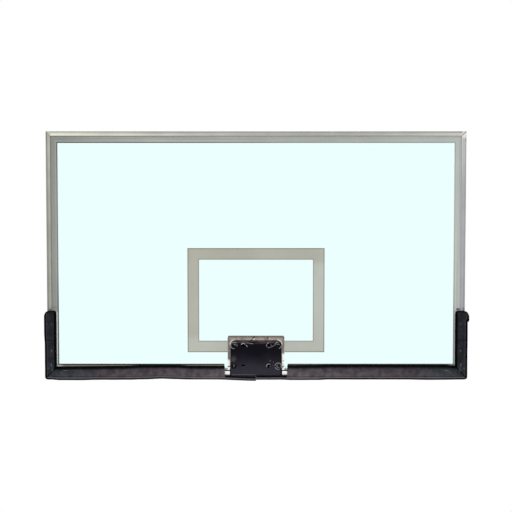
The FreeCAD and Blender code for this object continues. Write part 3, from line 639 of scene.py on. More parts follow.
# integral-skin polyurethane foam, moulded: matt grained skin, pale scuffs near the lower corners, and
# painted
# light and shade: lighter low down and towards the mount, black painted shade on the shoulders, walls, seams
# and creases, and a painted highlight on the raised parting line
foamFinish = {
    # each kind's tones hold painted light: the bottom pads lighter than the side pads, and lighter towards
    # the mount
    "side": {"litAndShadedTones": [(0.0, "#2b2e33"), (0.45, "#26272c"), (1.0, "#25262b")], "ridge": "#3a3c42",
             "low": 1.05},
    "bottom": {"litAndShadedTones": [(0.0, "#544e53"), (0.33, "#4a4448"), (0.70, "#433d41"), (0.84, "#3a3a3f"),
                         (0.90, "#333539"), (1.0, "#2a2b30")], "ridge": "#67646a", "low": 1.34},
    "shoulder": "#030305", "scuff": "#8b8d96", "lowLightSpan": (32.0, -2.0), "sideRise": 280.0,
    "bandShares": {"ridge": 0.85, "shoulder": 0.97, "seam": 0.85},
    "mottle": 26.0, "mottleShades": (0.72, 1.28),
    # grain and pebbles are drawn coarser than real ones, which are too fine to show
    "fine": 4.0, "fineShades": (0.80, 1.2), "fineSpan": (0.35, 0.65), "pebble": 1.3, "relief": (0.35, 0.4),
    "roughness": 0.72, "specular": 0.02,
    # scuffs on both sides alike, as (distance from the middle, height) from and to, width, share
    "scuffs": [((879, 109), (880, 108), 3.4, 0.5), ((882.5, 53), (880, 42), 2.0, 0.42),
               ((906, 34), (894, 33), 1.8, 0.42), ((878, 29), (876, 18), 2.4, 0.35),
               ((829, 22), (813, 23.5), 2.0, 0.36), ((840, 15), (838, 14), 3.2, 0.3),
               ((907, 223), (894, 224), 1.6, 0.22), ((881, 223.5), (879, 224.5), 2.2, 0.22)],
}


def mouldedFoam(name, kind):
    own, form = foamFinish[kind], foamFinish
    made, add = newMaterial(name)
    point, x, z = place(add)
    aside = add("size", x)
    if kind == "side":
        share = add("share", z, lowerEdge, lowerEdge + form["sideRise"])
    else:
        share = add("share", aside, 0.0, halfWidth)
    # painted light: lighter low down on each pad
    lower = add("step", z, *(lowerEdge + rise for rise in form["lowLightSpan"]), 1.0, own["low"])
    tone = add("tint", 1.0, add("ramp", share, stops=own["litAndShadedTones"]), lower)
    tone = varied(add, tone, grain(add, point, form["mottle"], detail=5.0, seed=2.7), form["mottleShades"])
    fine = grain(add, point, form["fine"], detail=3.0, seed=1.9)
    tone = varied(add, tone, fine, form["fineShades"], form["fineSpan"])
    mirrored = add("CombineXYZ", aside, 0.0, add("minus", z, lowerEdge))
    for start, end, width, most in form["scuffs"]:
        tone = laid(add, tone, form["scuff"], strokeMark(add, mirrored, start, end, width), most)
    # the ridge band is a painted highlight on the parting line; shoulders, seams and creases take the black
    # painted shade
    for band, most in form["bandShares"].items():
        paint = own["ridge"] if band == "ridge" else form["shoulder"]
        tone = laid(add, tone, paint, add("Attribute", attribute_name=band).node.outputs["Fac"], most)
    mattSurface(add, tone, form, grain(add, point, form["pebble"]))
    return made


# section of a pad, inward from the frame's edge and back from its front face
padForm = {
    "front": -12.3, "back": 65.3, "rear": 55.3, "heel": 4.35, "step": 20.3, "fit": -0.3,
    "edgeRadius": 8.0, "lipRadius": 4.0, "cornerRadius": 12.5, "ridgeSpan": 4.8, "ridgeHeight": 1.1,
    "heelInset": 1.5, "lipGap": 0.2, "hair": 0.01, "wallShade": 0.5, "rearShade": 0.3, "edgeRise": 2.4,
    "capRows": 4, "weld": 0.02,
    "skinFrom": 9, "waviness": 0.45, "wave": 55.0, "endRadius": 5.0, "endBand": (3.5, 7.0),
    "mitreRadius": 2.2, "mitreGap": 0.2, "mitreSeam": (0.8, 2.6), "mitreStretch": 1.4,
    "mitreStations": (0.0, 0.25, 0.6, 1.1, 1.8, 2.8, 5.0, 10.0),
    "seamDepth": 1.3, "seamHalf": (0.3, 2.2), "seamOffsets": (0.0, 0.5, 1.0, 1.6, 2.2, 3.0),
    "creaseAt": -2.6, "creaseHalf": (0.3, 1.7), "creaseDepth": 0.8,
    # points along each stretch of the section, in its order
    "heelPoints": 5, "edgePoints": 10, "bandPoints": 6, "facePoints": 18, "splitPoints": 5,
    "ridgePoints": 8, "rimPoints": 3, "wallPoints": 12, "rearEdgePoints": 8, "rearPoints": 5,
    "rearLegPoints": 8, "lipPoints": 6, "lipEndPoints": 3,
}
sidePads = {
    # cover: how far a pad reaches in from the frame's edge, corner and innerCorner: radii of its upper end
    "left": {"sign": 1, "cover": 39.8, "corner": 22.0, "innerCorner": 9.0, "swell": 2.4,
             "swellSpan": (128.0, 188.0), "lobe": None},
    "right": {"sign": -1, "cover": 41.5, "corner": 25.0, "innerCorner": 10.0, "swell": 1.3,
              "swellSpan": (0.0, 30.0), "lobe": (6.5, 256.0, 13.0)},  # stands out by, height, size
    "wall": 10.3, "rearCover": 30.0, "band": 1.0, "edge": 1.0, "rim": 1.5, "height": 280.0, "bend": 220.0,
    "straightFrom": 70.0, "pitch": 3.0, "waveShift": 300.0, "seams": [154.0],
    "seamFace": (-2.0, 4.0, 30.0, 38.0),  # a seam fades in and out between these
    "lows": (0.2, 0.32, 0.44, 0.56, 0.68, 0.8, 0.9), "tips": (3.6, 2.4, 1.5, 0.8, 0.3, 0.0),
    "wallAt": {"mitre": 40.0, "low": 40.0, "tip": 272.0},  # the height that gives the ends their wall
}
bottomPads = {
    # covers: how far the foam is pushed up the glass from the corner to the trim
    # lifts: how its lower edge wanders
    "left": {"sign": 1, "sag": 5.5, "band": 8.5,
             "covers": [(-850.0, 38.5), (-700.0, 40.0), (-570.0, 41.5), (-490.0, 45.5), (-340.0, 45.5),
                        (-285.0, 42.0), (-135.0, 41.5)],
             "lifts": [(-885.0, 0.0), (-850.0, -2.6), (-770.0, -3.0), (-690.0, -1.4), (-540.0, -1.0),
                       (-490.0, 0.4), (-406.0, 3.4), (-350.0, 1.8), (-286.0, 0.0)]},
    "right": {"sign": -1, "sag": 1.0, "band": 11.0,
              "covers": [(-850.0, 43.5), (-815.0, 46.5), (-330.0, 47.5), (-250.0, 45.0), (-135.0, 44.0)],
              "lifts": [(-885.0, 0.0), (-840.0, -0.8), (-751.0, -1.5), (-650.0, 0.0), (-310.0, 0.0),
                        (-265.0, -1.8), (-157.0, -2.4), (-100.0, 0.0)]},
    "wall": 17.3, "rearCover": 21.54, "edges": [(-300.0, 0.4), (-260.0, 0.0)], "rim": 0.0,
    "straightFrom": -790.0, "cornerRun": 60.0, "pitch": 6.0, "waveShift": 700.0, "liftSpan": (1.0, -5.0),
    "sagSpan": (-170.0, -10.0), "seams": [-297.0], "seamFace": (-3.0, 2.0, 24.0, 30.0), "seamShare": 0.55,
    "creaseShare": 0.6,
    "lows": (0.15, 0.25, 0.35, 0.45, 0.55, 0.65, 0.75, 0.85, 0.93),
    # the leg over the glass ends beside the mount, and a strip runs on below it to the middle
    "legEnd": -135.0, "legRadius": 4.0, "legEase": 5.0, "legTips": (3.0, 2.0, 1.2, 0.6, 0.2, 0.0),
    "stripStarts": (0.6, 1.4, 2.4, 4.0), "stripEase": 3.0, "stripTop": -6.6, "stripFront": -3.0,
    "tip": -0.1, "tipRadius": 1.4, "tips": (2.0, 1.2, 0.6, 0.2, 0.0),
}


def smooth(value, low, high):
    t = min(1.0, max(0.0, (value - low) / (high - low)))
    return t * t * (3 - 2 * t)


def part(a, b, share):  # a share of the way from a to b
    return a + (b - a) * share


def along(stops, value):  # eased value between (place, amount) stops
    if value <= stops[0][0]:
        return stops[0][1]
    for (a, first), (b, second) in zip(stops, stops[1:]):
        if value <= b:
            return part(first, second, smooth(value, a, b))
    return stops[-1][1]


def drawnIn(radius, distance):  # how far a rounded end has drawn in at a distance from its tip
    if distance >= radius:
        return 0.0
    return radius - math.sqrt(max(0.0, radius * radius - (radius - distance) ** 2))


def padSection(wall, cover, rearCover, band, edge, rim):
    # points from the heel of the front leg round the outside to the rear lip, then the inside point of each,
    # as (inward, back, the way it draws in, shoulder shade, ridge)
    form = padForm
    radius, lip, fit = form["edgeRadius"], form["lipRadius"], form["fit"]
    front, back, rear = form["front"], form["back"], form["rear"]
    points = []

    def line(a, b, count, draw, first=0.0, last=0.0, ridge=0.0):
        for i in range(count):
            t = i / count
            swell = ridge * math.sin(math.pi * t)
            points.append((part(a[0], b[0], t), part(a[1], b[1], t) - form["ridgeHeight"] * swell, draw,
                           part(first, last, t), swell))

    def arc(u, d, size, start, count, shoulder, rise=0.0):  # a quarter turn
        for i in range(count):
            turn = math.radians(start - 90 * i / count)
            out = (math.cos(turn), math.sin(turn))
            points.append((u + size * out[0], d + size * out[1], (-out[0], -out[1]),
                           min(1.0, shoulder + rise * i / count), 0.0))

    ridgeEnd = radius - wall + rim
    ridgeStart = ridgeEnd + form["ridgeSpan"]
    split = max(fit, ridgeStart)
    splitEnd = ridgeStart - (form["hair"] if split == ridgeStart else 0.0)
    line((cover, form["heel"]), (cover, front + radius), form["heelPoints"], (-1, 0), 1.0, 1.0)
    arc(cover - radius, front + radius, radius, 0, form["edgePoints"], 1.0)
    line((cover - radius, front), (cover - radius - band, front), form["bandPoints"], (0, 1), 1.0, 0.0)
    line((cover - radius - band, front), (split, front), form["facePoints"], (0, 1))
    frontSplit = len(points)
    line((split, front), (splitEnd, front), form["splitPoints"], (0, 1))
    line((ridgeStart, front), (ridgeEnd, front), form["ridgePoints"], (0, 1), ridge=1.0)
    if rim:
        line((ridgeEnd, front), (radius - wall, front), form["rimPoints"], (0, 1), 1.0, 1.0)
    arc(radius - wall, front + radius, radius, -90, form["edgePoints"], edge, form["edgeRise"])
    shade = form["wallShade"]
    line((-wall, front + radius), (-wall, back - radius), form["wallPoints"], (1, 0), shade, shade)
    arc(radius - wall, back - radius, radius, -180, form["rearEdgePoints"], form["rearShade"])
    faceEnd = len(points)
    line((radius - wall, back), (fit, back), form["rearPoints"], (0, -1))
    backSplit = len(points)
    line((fit, back), (rearCover - lip, back), form["rearLegPoints"], (0, -1))
    arc(rearCover - lip, back - lip, lip, 90, form["lipPoints"], 0.0)
    line((rearCover, back - lip), (rearCover, rear + form["lipGap"]), form["lipEndPoints"], (-1, 0))
    count = len(points)
    stepAt = frontSplit * 2 // 3  # inside, two thirds of the front's points lie on the glass
    inside = []
    heelStart = (cover - form["heelInset"], form["heel"])
    for first, last, a, b in ((0, stepAt, heelStart, (form["step"], form["heel"])),
                              (stepAt + 1, frontSplit, (form["step"], fit), (fit, fit)),
                              (frontSplit, backSplit, (fit, fit), (fit, rear)),
                              (backSplit, count - 1, (fit, rear), (rearCover, rear))):
        for i in range(len(inside), last + 1):
            t = (i - first) / (last - first)
            inside.append((part(a[0], b[0], t), part(a[1], b[1], t), (0, 0), 0.0, 0.0))
    return points + inside, count, frontSplit, faceEnd, backSplit


def mitreSlope(side):  # rise of the mitre for each millimetre inwards
    firstCover = bottomPads[side]["covers"][0][1]
    return (firstCover + bottomPads["wall"]) / (sidePads[side]["cover"] + sidePads["wall"])


def fromMitre(kind, value, foot, straightFrom):  # place along a pad between its mitre and its straight run
    if kind == "mitre":
        return foot + value * padForm["mitreStretch"]
    start = foot + padForm["mitreStations"][-1] * padForm["mitreStretch"]
    return part(start, straightFrom, value)


def roundCorner(x, z):  # turns a pad's square lower corner into a quarter circle
    radius = padForm["cornerRadius"]
    out = abs(x) - halfWidth - sidePads["wall"] + radius
    down = lowerEdge - bottomPads["wall"] + radius - z
    if out <= 0 or down <= 0:
        return x, z
    pull = max(out, down) / math.hypot(out, down)
    return math.copysign(abs(x) - out + out * pull, x), z + down - down * pull


def waved(u, d, draw, where):  # the skin wanders a little in or out
    wave = padForm["waviness"] * noise.noise(Vector(where) / padForm["wave"])
    return u + wave * max(0.0, draw[0]), d + wave * max(0.0, draw[1])


def seamAt(value, u, common):  # depth of the moulded seams, fading at the edges of the face
    a, b, c, e = common["seamFace"]
    face = smooth(u, a, b) * (1 - smooth(u, c, e))
    return face * max(1.0 - smooth(abs(value - seam), *padForm["seamHalf"]) for seam in common["seams"])


def stationsBetween(first, last, pitch, seams=()):  # even stations with more of them about each seam
    count = max(2, round(abs(last - first) / pitch))
    found = {round(part(first, last, i / count), 3) for i in range(count + 1)}
    for seam in seams:
        for off in padForm["seamOffsets"]:
            found |= {round(seam - off, 3), round(seam + off, 3)}
    return sorted(found)


def padMesh(name, rows, count, spans, caps, material):
    # rows: (x, y, z, shoulder shade, ridge, seam) of each point at each station
    # spans: first and last point that the wall to the next row joins
    # caps: the rows that are closed, with their first and last point and how many faces cross them
    work = bmesh.new()
    layers = [work.verts.layers.float.new(n) for n in ("shoulder", "ridge", "seam")]
    made = []
    for row in rows:
        line = []
        for x, y, z, *bands in row:
            vert = work.verts.new((x * mm, y * mm, z * mm))
            for layer, value in zip(layers, bands):
                vert[layer] = value
            line.append(vert)
        made.append(line)
    for near, far, (first, last) in zip(made, made[1:], spans):
        loop = [*range(first, last + 1), *range(count + last, count + first - 1, -1)]
        for here, ahead in zip(loop, loop[1:] + loop[:1]):
            work.faces.new((near[here], near[ahead], far[ahead], far[here]))
    for station, first, last, across in caps:
        columns = []
        for i in range(first, last + 1):
            a, b = made[station][i], made[station][count + i]
            column = [a]
            for k in range(1, across):
                vert = work.verts.new(a.co.lerp(b.co, k / across))
                vert[layers[0]] = a[layers[0]] * (1 - k / across)
                column.append(vert)
            columns.append(column + [b])
        for here, ahead in zip(columns, columns[1:]):
            for k in range(across):
                work.faces.new((here[k], here[k + 1], ahead[k + 1], ahead[k]))
    loose = [vert for vert in work.verts if not vert.link_faces]
    bmesh.ops.delete(work, geom=loose, context="VERTS")
    bmesh.ops.remove_doubles(work, verts=work.verts, dist=padForm["weld"] * mm)
    data = meshFrom(work, name)
    for polygon in data.polygons:
        polygon.use_smooth = True
    data.materials.append(material)
    return show(name, data)


def sideWall(own, height):  # how far a side pad stands out from the frame's edge
    wall = sidePads["wall"] + own["swell"] * smooth(height, *own["swellSpan"])
    if own["lobe"]:
        out, centre, size = own["lobe"]
        if height > centre - size:
            wall += out * math.sqrt(1 - max(0.0, (centre - height) / size) ** 2)
    return wall


def sidePad(side):
    own, common, form = sidePads[side], sidePads, padForm
    height, bend, end = common["height"], common["bend"], form["endRadius"]
    slope = mitreSlope(side)
    stations = [("mitre", s) for s in form["mitreStations"]]
    stations += [("low", t) for t in common["lows"]]
    heights = stationsBetween(common["straightFrom"], height - end, common["pitch"], common["seams"])
    stations += [("high", h) for h in heights]
    stations += [("tip", s) for s in common["tips"]]
    rows = []
    for kind, value in stations:
        wall = sideWall(own, common["wallAt"].get(kind, value))
        points, count, _, faceEnd, _ = padSection(
            wall, own["cover"], common["rearCover"], common["band"], common["edge"], common["rim"])
        row = []
        for index, (u, d, draw, shoulder, ridge) in enumerate(points):
            outerDrop = drawnIn(own["corner"], u + wall)
            top = height - max(outerDrop, drawnIn(own["innerCorner"], own["cover"] - u))
            inwards = 0.0
            seam = 0.0
            if kind == "high":
                h = value
                if h > bend:  # the last stretch leans over with the rounded corner
                    h = bend + (value - bend) * (top - end - bend) / (height - end - bend)
            elif kind == "tip":
                h = top - value
                inwards = drawnIn(end, value)
            else:
                foot = (u + common["wall"]) * slope - bottomPads["wall"] + form["mitreGap"]
                h = fromMitre(kind, value, foot, common["straightFrom"])
                if kind == "mitre":
                    inwards = drawnIn(form["mitreRadius"], value)
            u += draw[0] * inwards
            d += draw[1] * inwards
            # painted shade near each side pad's rounded upper end
            if form["heelPoints"] <= index < faceEnd:
                shoulder = max(shoulder, 1.0 - smooth(top - h, *form["endBand"]))
            if form["skinFrom"] <= index < count and draw[1] > 0.5:
                seam = seamAt(h, u, common)
                d += form["seamDepth"] * seam
                if kind == "mitre":
                    seam = max(seam, 1.0 - smooth(value, *form["mitreSeam"]))
            if form["skinFrom"] <= index < faceEnd:
                u, d = waved(u, d, draw, (u, d, h + common["waveShift"] * own["sign"]))
            x, z = roundCorner(own["sign"] * (u - halfWidth), h + lowerEdge)
            row.append((x, d + lipFront, z, shoulder, ridge, seam))
        rows.append(row)
    caps = [(0, 0, count - 1, 1), (len(rows) - 1, 0, count - 1, form["capRows"])]
    return padMesh(side + "_side_pad_skin", rows, count, [(0, count - 1)] * len(rows), caps,
                   mouldedFoam("moulded_skin_foam_" + side + "_side", "side"))


def bottomPad(side):
    own, common, form = bottomPads[side], bottomPads, padForm
    legEnd, tip, fit = common["legEnd"], common["tip"], form["fit"]
    ridgeFoot = form["edgeRadius"] - common["wall"]
    slope = mitreSlope(side)
    lastGap = common["stripStarts"][-1]
    stations = [("mitre", s) for s in form["mitreStations"]]
    stations += [("low", t) for t in common["lows"]]
    legs = stationsBetween(common["straightFrom"], legEnd - lastGap, common["pitch"], common["seams"])
    stations += [("leg", p) for p in legs]
    stations += [("leg", legEnd - s) for s in common["legTips"]]
    legLast = len(stations) - 1
    stations += [("strip", legEnd + s) for s in common["stripStarts"]]
    stations += [("strip", p) for p in stationsBetween(legEnd + 2 * lastGap, tip - lastGap, common["pitch"])]
    stations += [("strip", tip - s) for s in common["tips"]]
    rows = []
    for kind, value in stations:
        nominal = value
        if kind in ("mitre", "low"):  # where in the corner's run the cover is read
            nominal = common["straightFrom"] - common["cornerRun"] * (1 - (value if kind == "low" else 0.0))
        chamfer = smooth(value, legEnd, legEnd + common["stripEase"]) if kind == "strip" else 0.0
        points, count, frontSplit, faceEnd, backSplit = padSection(
            common["wall"], along(own["covers"], nominal), common["rearCover"], own["band"],
            along(common["edges"], nominal), common["rim"])
        ridgeFirst = frontSplit + form["splitPoints"]
        row = []
        for index, (u, d, draw, shoulder, ridge) in enumerate(points):
            out = index < count
            seam = 0.0
            if kind == "leg":
                p = value
                inwards = drawnIn(common["legRadius"], legEnd - value)
                inwards *= smooth(u, fit, fit + common["legEase"])
            elif kind == "strip":
                p = value
                inwards = drawnIn(common["tipRadius"], tip - value)
            else:
                foot = (u + common["wall"]) / slope - halfWidth - sidePads["wall"] + form["mitreGap"]
                p = fromMitre(kind, value, foot, common["straightFrom"])
                inwards = drawnIn(form["mitreRadius"], value) if kind == "mitre" else 0.0
            if chamfer and ridgeFirst < index <= ridgeFirst + form["ridgePoints"]:
                # the parting line makes room for the chamfer
                t = (u - ridgeFoot) / form["ridgeSpan"]
                u += (common["stripTop"] - ridgeFoot - form["ridgeSpan"]) * t * chamfer
            elif chamfer and frontSplit <= index <= ridgeFirst:
                # the strip's upper front edge falls away in a chamfer, painted dark as shade
                t = (index - frontSplit) / form["splitPoints"]
                u = part(u, part(fit, common["stripTop"], t), chamfer)
                d = part(d, part(common["stripFront"], form["front"], t), chamfer)
                shoulder = max(shoulder, chamfer)
            u += draw[0] * inwards
            d += draw[1] * inwards
            if form["skinFrom"] <= index < count and draw[1] > 0.5:
                if kind == "mitre":
                    seam = 1.0 - smooth(value, *form["mitreSeam"])
                else:
                    seam = common["seamShare"] * seamAt(p, u, common)
                    d += form["seamDepth"] * seam
                    if kind != "strip" and ridge == 0.0:  # crease above the parting line
                        crease = 1.0 - smooth(abs(u - form["creaseAt"]), *form["creaseHalf"])
                        d += form["creaseDepth"] * crease
                        seam = max(seam, common["creaseShare"] * crease)
            if form["skinFrom"] <= index < faceEnd and kind != "mitre":
                u, d = waved(u, d, draw, (p + common["waveShift"] * own["sign"], d, u))
            if out:
                u += along(own["lifts"], p) * smooth(u, *common["liftSpan"])
            sag = own["sag"] * smooth(p, *common["sagSpan"])
            if kind != "strip" and u > fit - form["hair"]:  # the leg is held by the glass
                sag = 0.0
            x, z = roundCorner(own["sign"] * p, u - sag + lowerEdge)
            row.append((x, d + lipFront, z, shoulder, ridge, seam))
        rows.append(row)
    last = len(rows) - 1
    spans = [(0, count - 1) if i < legLast else (frontSplit, backSplit) for i in range(last)]
    caps = [(0, 0, count - 1, 1), (legLast, 0, frontSplit, 1), (legLast, backSplit, count - 1, 1),
            (last, frontSplit, backSplit, 1)]
    return padMesh(side + "_bottom_pad_skin", rows, count, spans, caps,
                   mouldedFoam("moulded_skin_foam_" + side + "_bottom", "bottom"))


for side in ("left", "right"):
    for skin, node in ((sidePad(side), side + "_side_pad"), (bottomPad(side), side + "_bottom_pad")):
        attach(skin, "root")
        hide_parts(node)
print("pads made")


def closeRings(work, rings):  # a skin over rings of points, closed at both ends
    for first, second in zip(rings, rings[1:]):
        for i in range(len(first)):
            j = (i + 1) % len(first)
            work.faces.new((first[i], first[j], second[j], second[i]))
    work.faces.new(rings[0])
    work.faces.new(rings[-1])


# rubber fins that close the joint between the frame's lip and the glass
finForm = {
    "lip": 20.0, "notchEdge": 124.0,
    # section of the wedge as (reach onto the glass, depth behind the lip's front)
    "section": [(0.0, 2.6), (0.6, 2.5), (2.1, 3.7), (3.0, 4.4), (2.8, 4.6), (0.0, 4.6)],
}


def finStrip(work, start, end, across):
    # start and end are (x, z, mitred) on the lip's edge, across points inwards
    way = Vector((end[0] - start[0], end[1] - start[1])).normalized()
    rings = []
    for (x, z, mitred), sign in ((start, 1), (end, -1)):
        ring = []
        for reach, depth in finForm["section"]:
            shift = way * (reach * sign * mitred)
            ring.append(work.verts.new(Vector((x + across[0] * reach + shift.x, depth + lipFront,
                                               z + across[1] * reach + shift.y)) * mm))
        rings.append(ring)
    closeRings(work, rings)


def gasketFins():
    work = bmesh.new()
    right, notch = halfWidth - finForm["lip"], finForm["notchEdge"]
    low, high = lowerEdge + finForm["lip"], upperEdge - finForm["lip"]
    finStrip(work, (-right, high, 1), (right, high, 1), (0, -1))
    finStrip(work, (-right, low, 1), (-right, high, 1), (1, 0))
    finStrip(work, (right, low, 1), (right, high, 1), (-1, 0))
    finStrip(work, (-right, low, 1), (-notch, low, 0), (0, 1))
    finStrip(work, (notch, low, 0), (right, low, 1), (0, 1))
    data = meshFrom(work, "gasket_fins")
    data.materials.append(extrudedRubber("extruded_rubber_fin", "fins"))
    return show("gasket_fins", data)


fins = gasketFins()
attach(fins, "root")
print("gasket fins made")


# node trees that make what repeats along a line
def newTree(name, **sockets):  # a tree, what adds a node to it, and its inputs
    tree = bpy.data.node_groups.new(name, "GeometryNodeTree")
    tree.interface.new_socket("Geometry", in_out="INPUT", socket_type="NodeSocketGeometry")
    for label, kind in sockets.items():
        tree.interface.new_socket(label, in_out="INPUT", socket_type="NodeSocket" + kind)
    tree.interface.new_socket("Geometry", in_out="OUTPUT", socket_type="NodeSocketGeometry")
    add = partial(addNode, tree)
    return tree, add, add("NodeGroupInput").node.outputs


def growMesh(tree, base, name, values):  # runs a tree on a base mesh and keeps the plain result
    holder = show(name + "_base", base)
    modifier = holder.modifiers.new("grow", "NODES")
    modifier.node_group = tree
    for item in tree.interface.items_tree:
        if item.item_type == "SOCKET" and item.in_out == "INPUT" and item.name in values:
            modifier[item.identifier] = values[item.name]
    graph = bpy.context.evaluated_depsgraph_get()
    data = bpy.data.meshes.new_from_object(holder.evaluated_get(graph))
    data.name = name
    holder.modifiers.remove(modifier)
    bpy.data.objects.remove(holder)
    return show(name, data)


# hand-laid fillet welds of the bracket: overlapping ripples, painted with the rest
weldForm = {"pitch": 2.4, "leg": 3.2, "ripple": 1.9, "uneven": 0.22, "seed": 11, "endGap": 4.0}


def weldTree():
    tree, add, given = newTree("weld_ripples", Pitch="Float", Leg="Float", Ripple="Float", Uneven="Float",
                               Seed="Int", Paint="Material")
    path = add("GeometryNodeMeshToCurve", given["Geometry"])
    spaced = add("GeometryNodeCurveToPoints", {"Curve": path, "Length": given["Pitch"]}, mode="LENGTH")
    points = spaced.node.outputs
    ball = add("GeometryNodeMeshIcoSphere", {"Radius": 1.0, "Subdivisions": 2})
    least = add("minus", 1.0, given["Uneven"])
    most = add("plus", 1.0, given["Uneven"])
    spread = add("FunctionNodeRandomValue", {"Min": least, "Max": most, "Seed": given["Seed"]},
                 data_type="FLOAT")
    across = add("times", given["Leg"], spread)
    size = add("CombineXYZ", across, across, given["Ripple"])
    laidOut = add("GeometryNodeInstanceOnPoints", {"Points": points["Points"], "Instance": ball,
                                                   "Rotation": points["Rotation"], "Scale": size})
    solid = add("GeometryNodeRealizeInstances", laidOut)
    add("NodeGroupOutput", add("GeometryNodeSetMaterial", {"Geometry": solid, "Material": given["Paint"]}))
    return tree


def weldLines():  # beside the cheeks, front and rear, and over the top web
    low, high = boxOf("bracket_right_cheek")
    webTop, gap = boxOf("bracket_top_web")[1].z, weldForm["endGap"]
    ends = []
    for x in (-high.x, high.x):
        for y in (low.y, high.y):
            ends += [(x, y, low.z + gap), (x, y, high.z - gap)]
    ends += [(gap - high.x, low.y, webTop), (high.x - gap, low.y, webTop)]
    data = bpy.data.meshes.new("weld_lines")
    data.from_pydata([Vector(end) * mm for end in ends], [(i, i + 1) for i in range(0, len(ends), 2)], [])
    return data


welds = growMesh(weldTree(), weldLines(), "bracket_welds", {
    "Pitch": weldForm["pitch"] * mm, "Leg": weldForm["leg"] * mm, "Ripple": weldForm["ripple"] * mm,
    "Uneven": weldForm["uneven"], "Seed": weldForm["seed"], "Paint": bracketCoat})
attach(welds, "root")
print("welds made:", len(welds.data.polygons), "faces")

# T bolts with rolled M12 threads
boltForm = {"core": 5.15, "crest": 0.95, "pitch": 1.75, "reach": 40.0, "plain": 1.0, "tip": 1.2,
            "tipShare": 0.7, "teeLength": 24.0, "teeWide": 23.2, "teeHeight": 6.0, "neck": 12.2, "edge": 0.6,
            "sides": 32, "toothShare": 0.85}  # the share of the crest for a tooth of four sides


def boltBase():  # head and core of both bolts, and where their threads lie
    form = boltForm
    work = bmesh.new()
    low, high = boxOf("stay_bolts")
    centre, tip = (low.z + high.z) / 2, high.y
    apart = high.x - form["teeLength"] / 2
    slotRear, start = low.y + form["teeHeight"], tip - form["reach"]
    turns = [2 * math.pi * i / form["sides"] for i in range(form["sides"])]
    for x in (-apart, apart):
        for near, far, wide, tall in ((low.y, slotRear, form["teeLength"], form["teeWide"]),
                                      (slotRear, start, form["neck"], form["neck"])):
            block = bmesh.ops.create_cube(work, size=1.0)["verts"]
            for vert in block:
                vert.co = Vector((x + vert.co.x * wide, (near + far) / 2 + vert.co.y * (far - near),
                                  centre + vert.co.z * tall)) * mm
            edges = [e for e in work.edges if all(v in block for v in e.verts)]
            bmesh.ops.bevel(work, geom=edges, offset=form["edge"] * mm, segments=2, affect="EDGES",
                            profile=0.5)
        rings = []
        for y, radius in ((start, form["core"]), (tip - form["tip"], form["core"]),
                          (tip, form["core"] - form["tip"] * form["tipShare"])):
            around = [(x + math.cos(turn) * radius, y, centre + math.sin(turn) * radius) for turn in turns]
            rings.append([work.verts.new(Vector(corner) * mm) for corner in around])
        closeRings(work, rings)
    return meshFrom(work, "bolt_base"), Vector((apart, start + form["plain"], centre))


def threadTree():
    tree, add, given = newTree("rolled_threads", Turns="Float", Core="Float", Crest="Float", Length="Float",
                               Left="Vector", Right="Vector", Plating="Material")
    helix = add("GeometryNodeCurveSpiral", {
        "Resolution": 24, "Rotations": given["Turns"], "Height": given["Length"],
        "Start Radius": given["Core"], "End Radius": given["Core"]})
    tooth = add("GeometryNodeCurvePrimitiveCircle", {"Resolution": 4, "Radius": given["Crest"]},
                mode="RADIUS")
    ridge = add("GeometryNodeCurveToMesh", {"Curve": helix, "Profile Curve": tooth, "Fill Caps": True})
    parts = [given["Geometry"]]
    for where in ("Left", "Right"):
        parts.append(add("GeometryNodeTransform", {"Geometry": ridge, "Translation": given[where],
                                                   "Rotation": (-math.pi / 2, 0, 0)}))
    joined = add("GeometryNodeJoinGeometry")
    for piece in parts:
        tree.links.new(piece, joined.node.inputs[0])
    solid = add("GeometryNodeRealizeInstances", joined)
    add("NodeGroupOutput", add("GeometryNodeSetMaterial", {"Geometry": solid, "Material": given["Plating"]}))
    return tree


boltData, threadStart = boltBase()
threadLength = boltForm["reach"] - boltForm["plain"] - boltForm["tip"] - boltForm["crest"]
bolts = growMesh(threadTree(), boltData, "threaded_stay_bolts", {
    "Turns": threadLength / boltForm["pitch"], "Core": boltForm["core"] * mm, "Length": threadLength * mm,
    "Crest": boltForm["crest"] * boltForm["toothShare"] * mm, "Left": threadStart * Vector((-1, 1, 1)) * mm,
    "Right": threadStart * mm, "Plating": zincSteel})
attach(bolts, "root")
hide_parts("stay_bolts")
print("bolts made:", len(bolts.data.polygons), "faces")

# pale floor at playing height, white surroundings, two broad soft lamps in front and one behind, in metres
studio = {"floorTone": "#e8e8e5", "floorReach": 5.0, "floorDrop": 2.9, "ambient": 0.78, "lampSize": 3.0,
          "lamps": [((-2.6, -4.2, 3.4), 62.0), ((2.8, -3.6, 2.6), 40.0), ((0.6, 4.0, 3.2), 45.0)]}


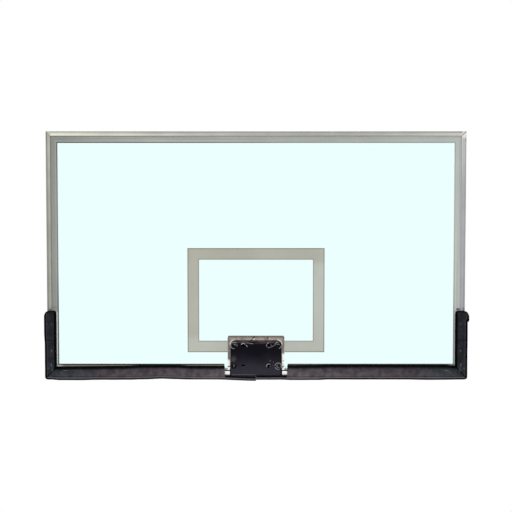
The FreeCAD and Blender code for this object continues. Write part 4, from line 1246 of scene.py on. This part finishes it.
def makeStage():
    reach, level = studio["floorReach"], lowerEdge * mm - studio["floorDrop"]
    data = bpy.data.meshes.new("floor")
    corners = [(x * reach, y * reach, level) for x, y in ((-1, -1), (1, -1), (1, 1), (-1, 1))]
    data.from_pydata(corners, [], [(0, 1, 2, 3)])
    made, add = newMaterial("pale_floor")
    finishSurface(add, {"Base Color": studio["floorTone"], "Roughness": 0.8, "Specular IOR Level": 0.1})
    data.materials.append(made)
    show("floor", data)
    world = bpy.data.worlds.new("soft_studio")
    world.use_nodes = True
    world.node_tree.nodes.clear()
    add = partial(addNode, world.node_tree)
    path = add("LightPath").node.outputs
    seen = add("most", path["Is Camera Ray"], path["Is Glossy Ray"])
    seen = add("most", seen, path["Is Transmission Ray"])
    soft = add("Background", {"Color": (1, 1, 1, 1), "Strength": studio["ambient"]})
    white = add("Background", {"Color": (1, 1, 1, 1), "Strength": 1.0})
    add("OutputWorld", add("MixShader", seen, soft, white))
    scene.world = world
    aim = Vector((0, 0, middle * mm))
    for i, (where, power) in enumerate(studio["lamps"]):
        lamp = bpy.data.lights.new("lamp_%d" % i, "AREA")
        lamp.shape = "DISK"
        lamp.size = studio["lampSize"]
        lamp.energy = power
        holder = show("lamp_%d" % i, lamp)
        holder.location = where
        holder.rotation_euler = (aim - Vector(where)).to_track_quat("-Z", "Y").to_euler()


# camera at the photographed angle, in metres and degrees, with its sensor in millimetres
shot = {"elevation": 2.75, "distance": 4.5, "widthSeen": 2.198, "aim": (0.0, -0.066, 0.4309), "sensor": 36.0}


def makeCamera():
    lens = bpy.data.cameras.new("camera")
    lens.sensor_width = shot["sensor"]
    lens.lens = shot["sensor"] * shot["distance"] / shot["widthSeen"]
    camera = show("camera", lens)
    turn = math.radians(shot["elevation"])
    aim = Vector(shot["aim"])
    camera.location = aim + Vector((0, -math.cos(turn), math.sin(turn))) * shot["distance"]
    camera.rotation_euler = (aim - camera.location).to_track_quat("-Z", "Y").to_euler()
    scene.camera = camera


makeStage()
makeCamera()
scene.view_settings.view_transform = "Standard"
print("stage set")
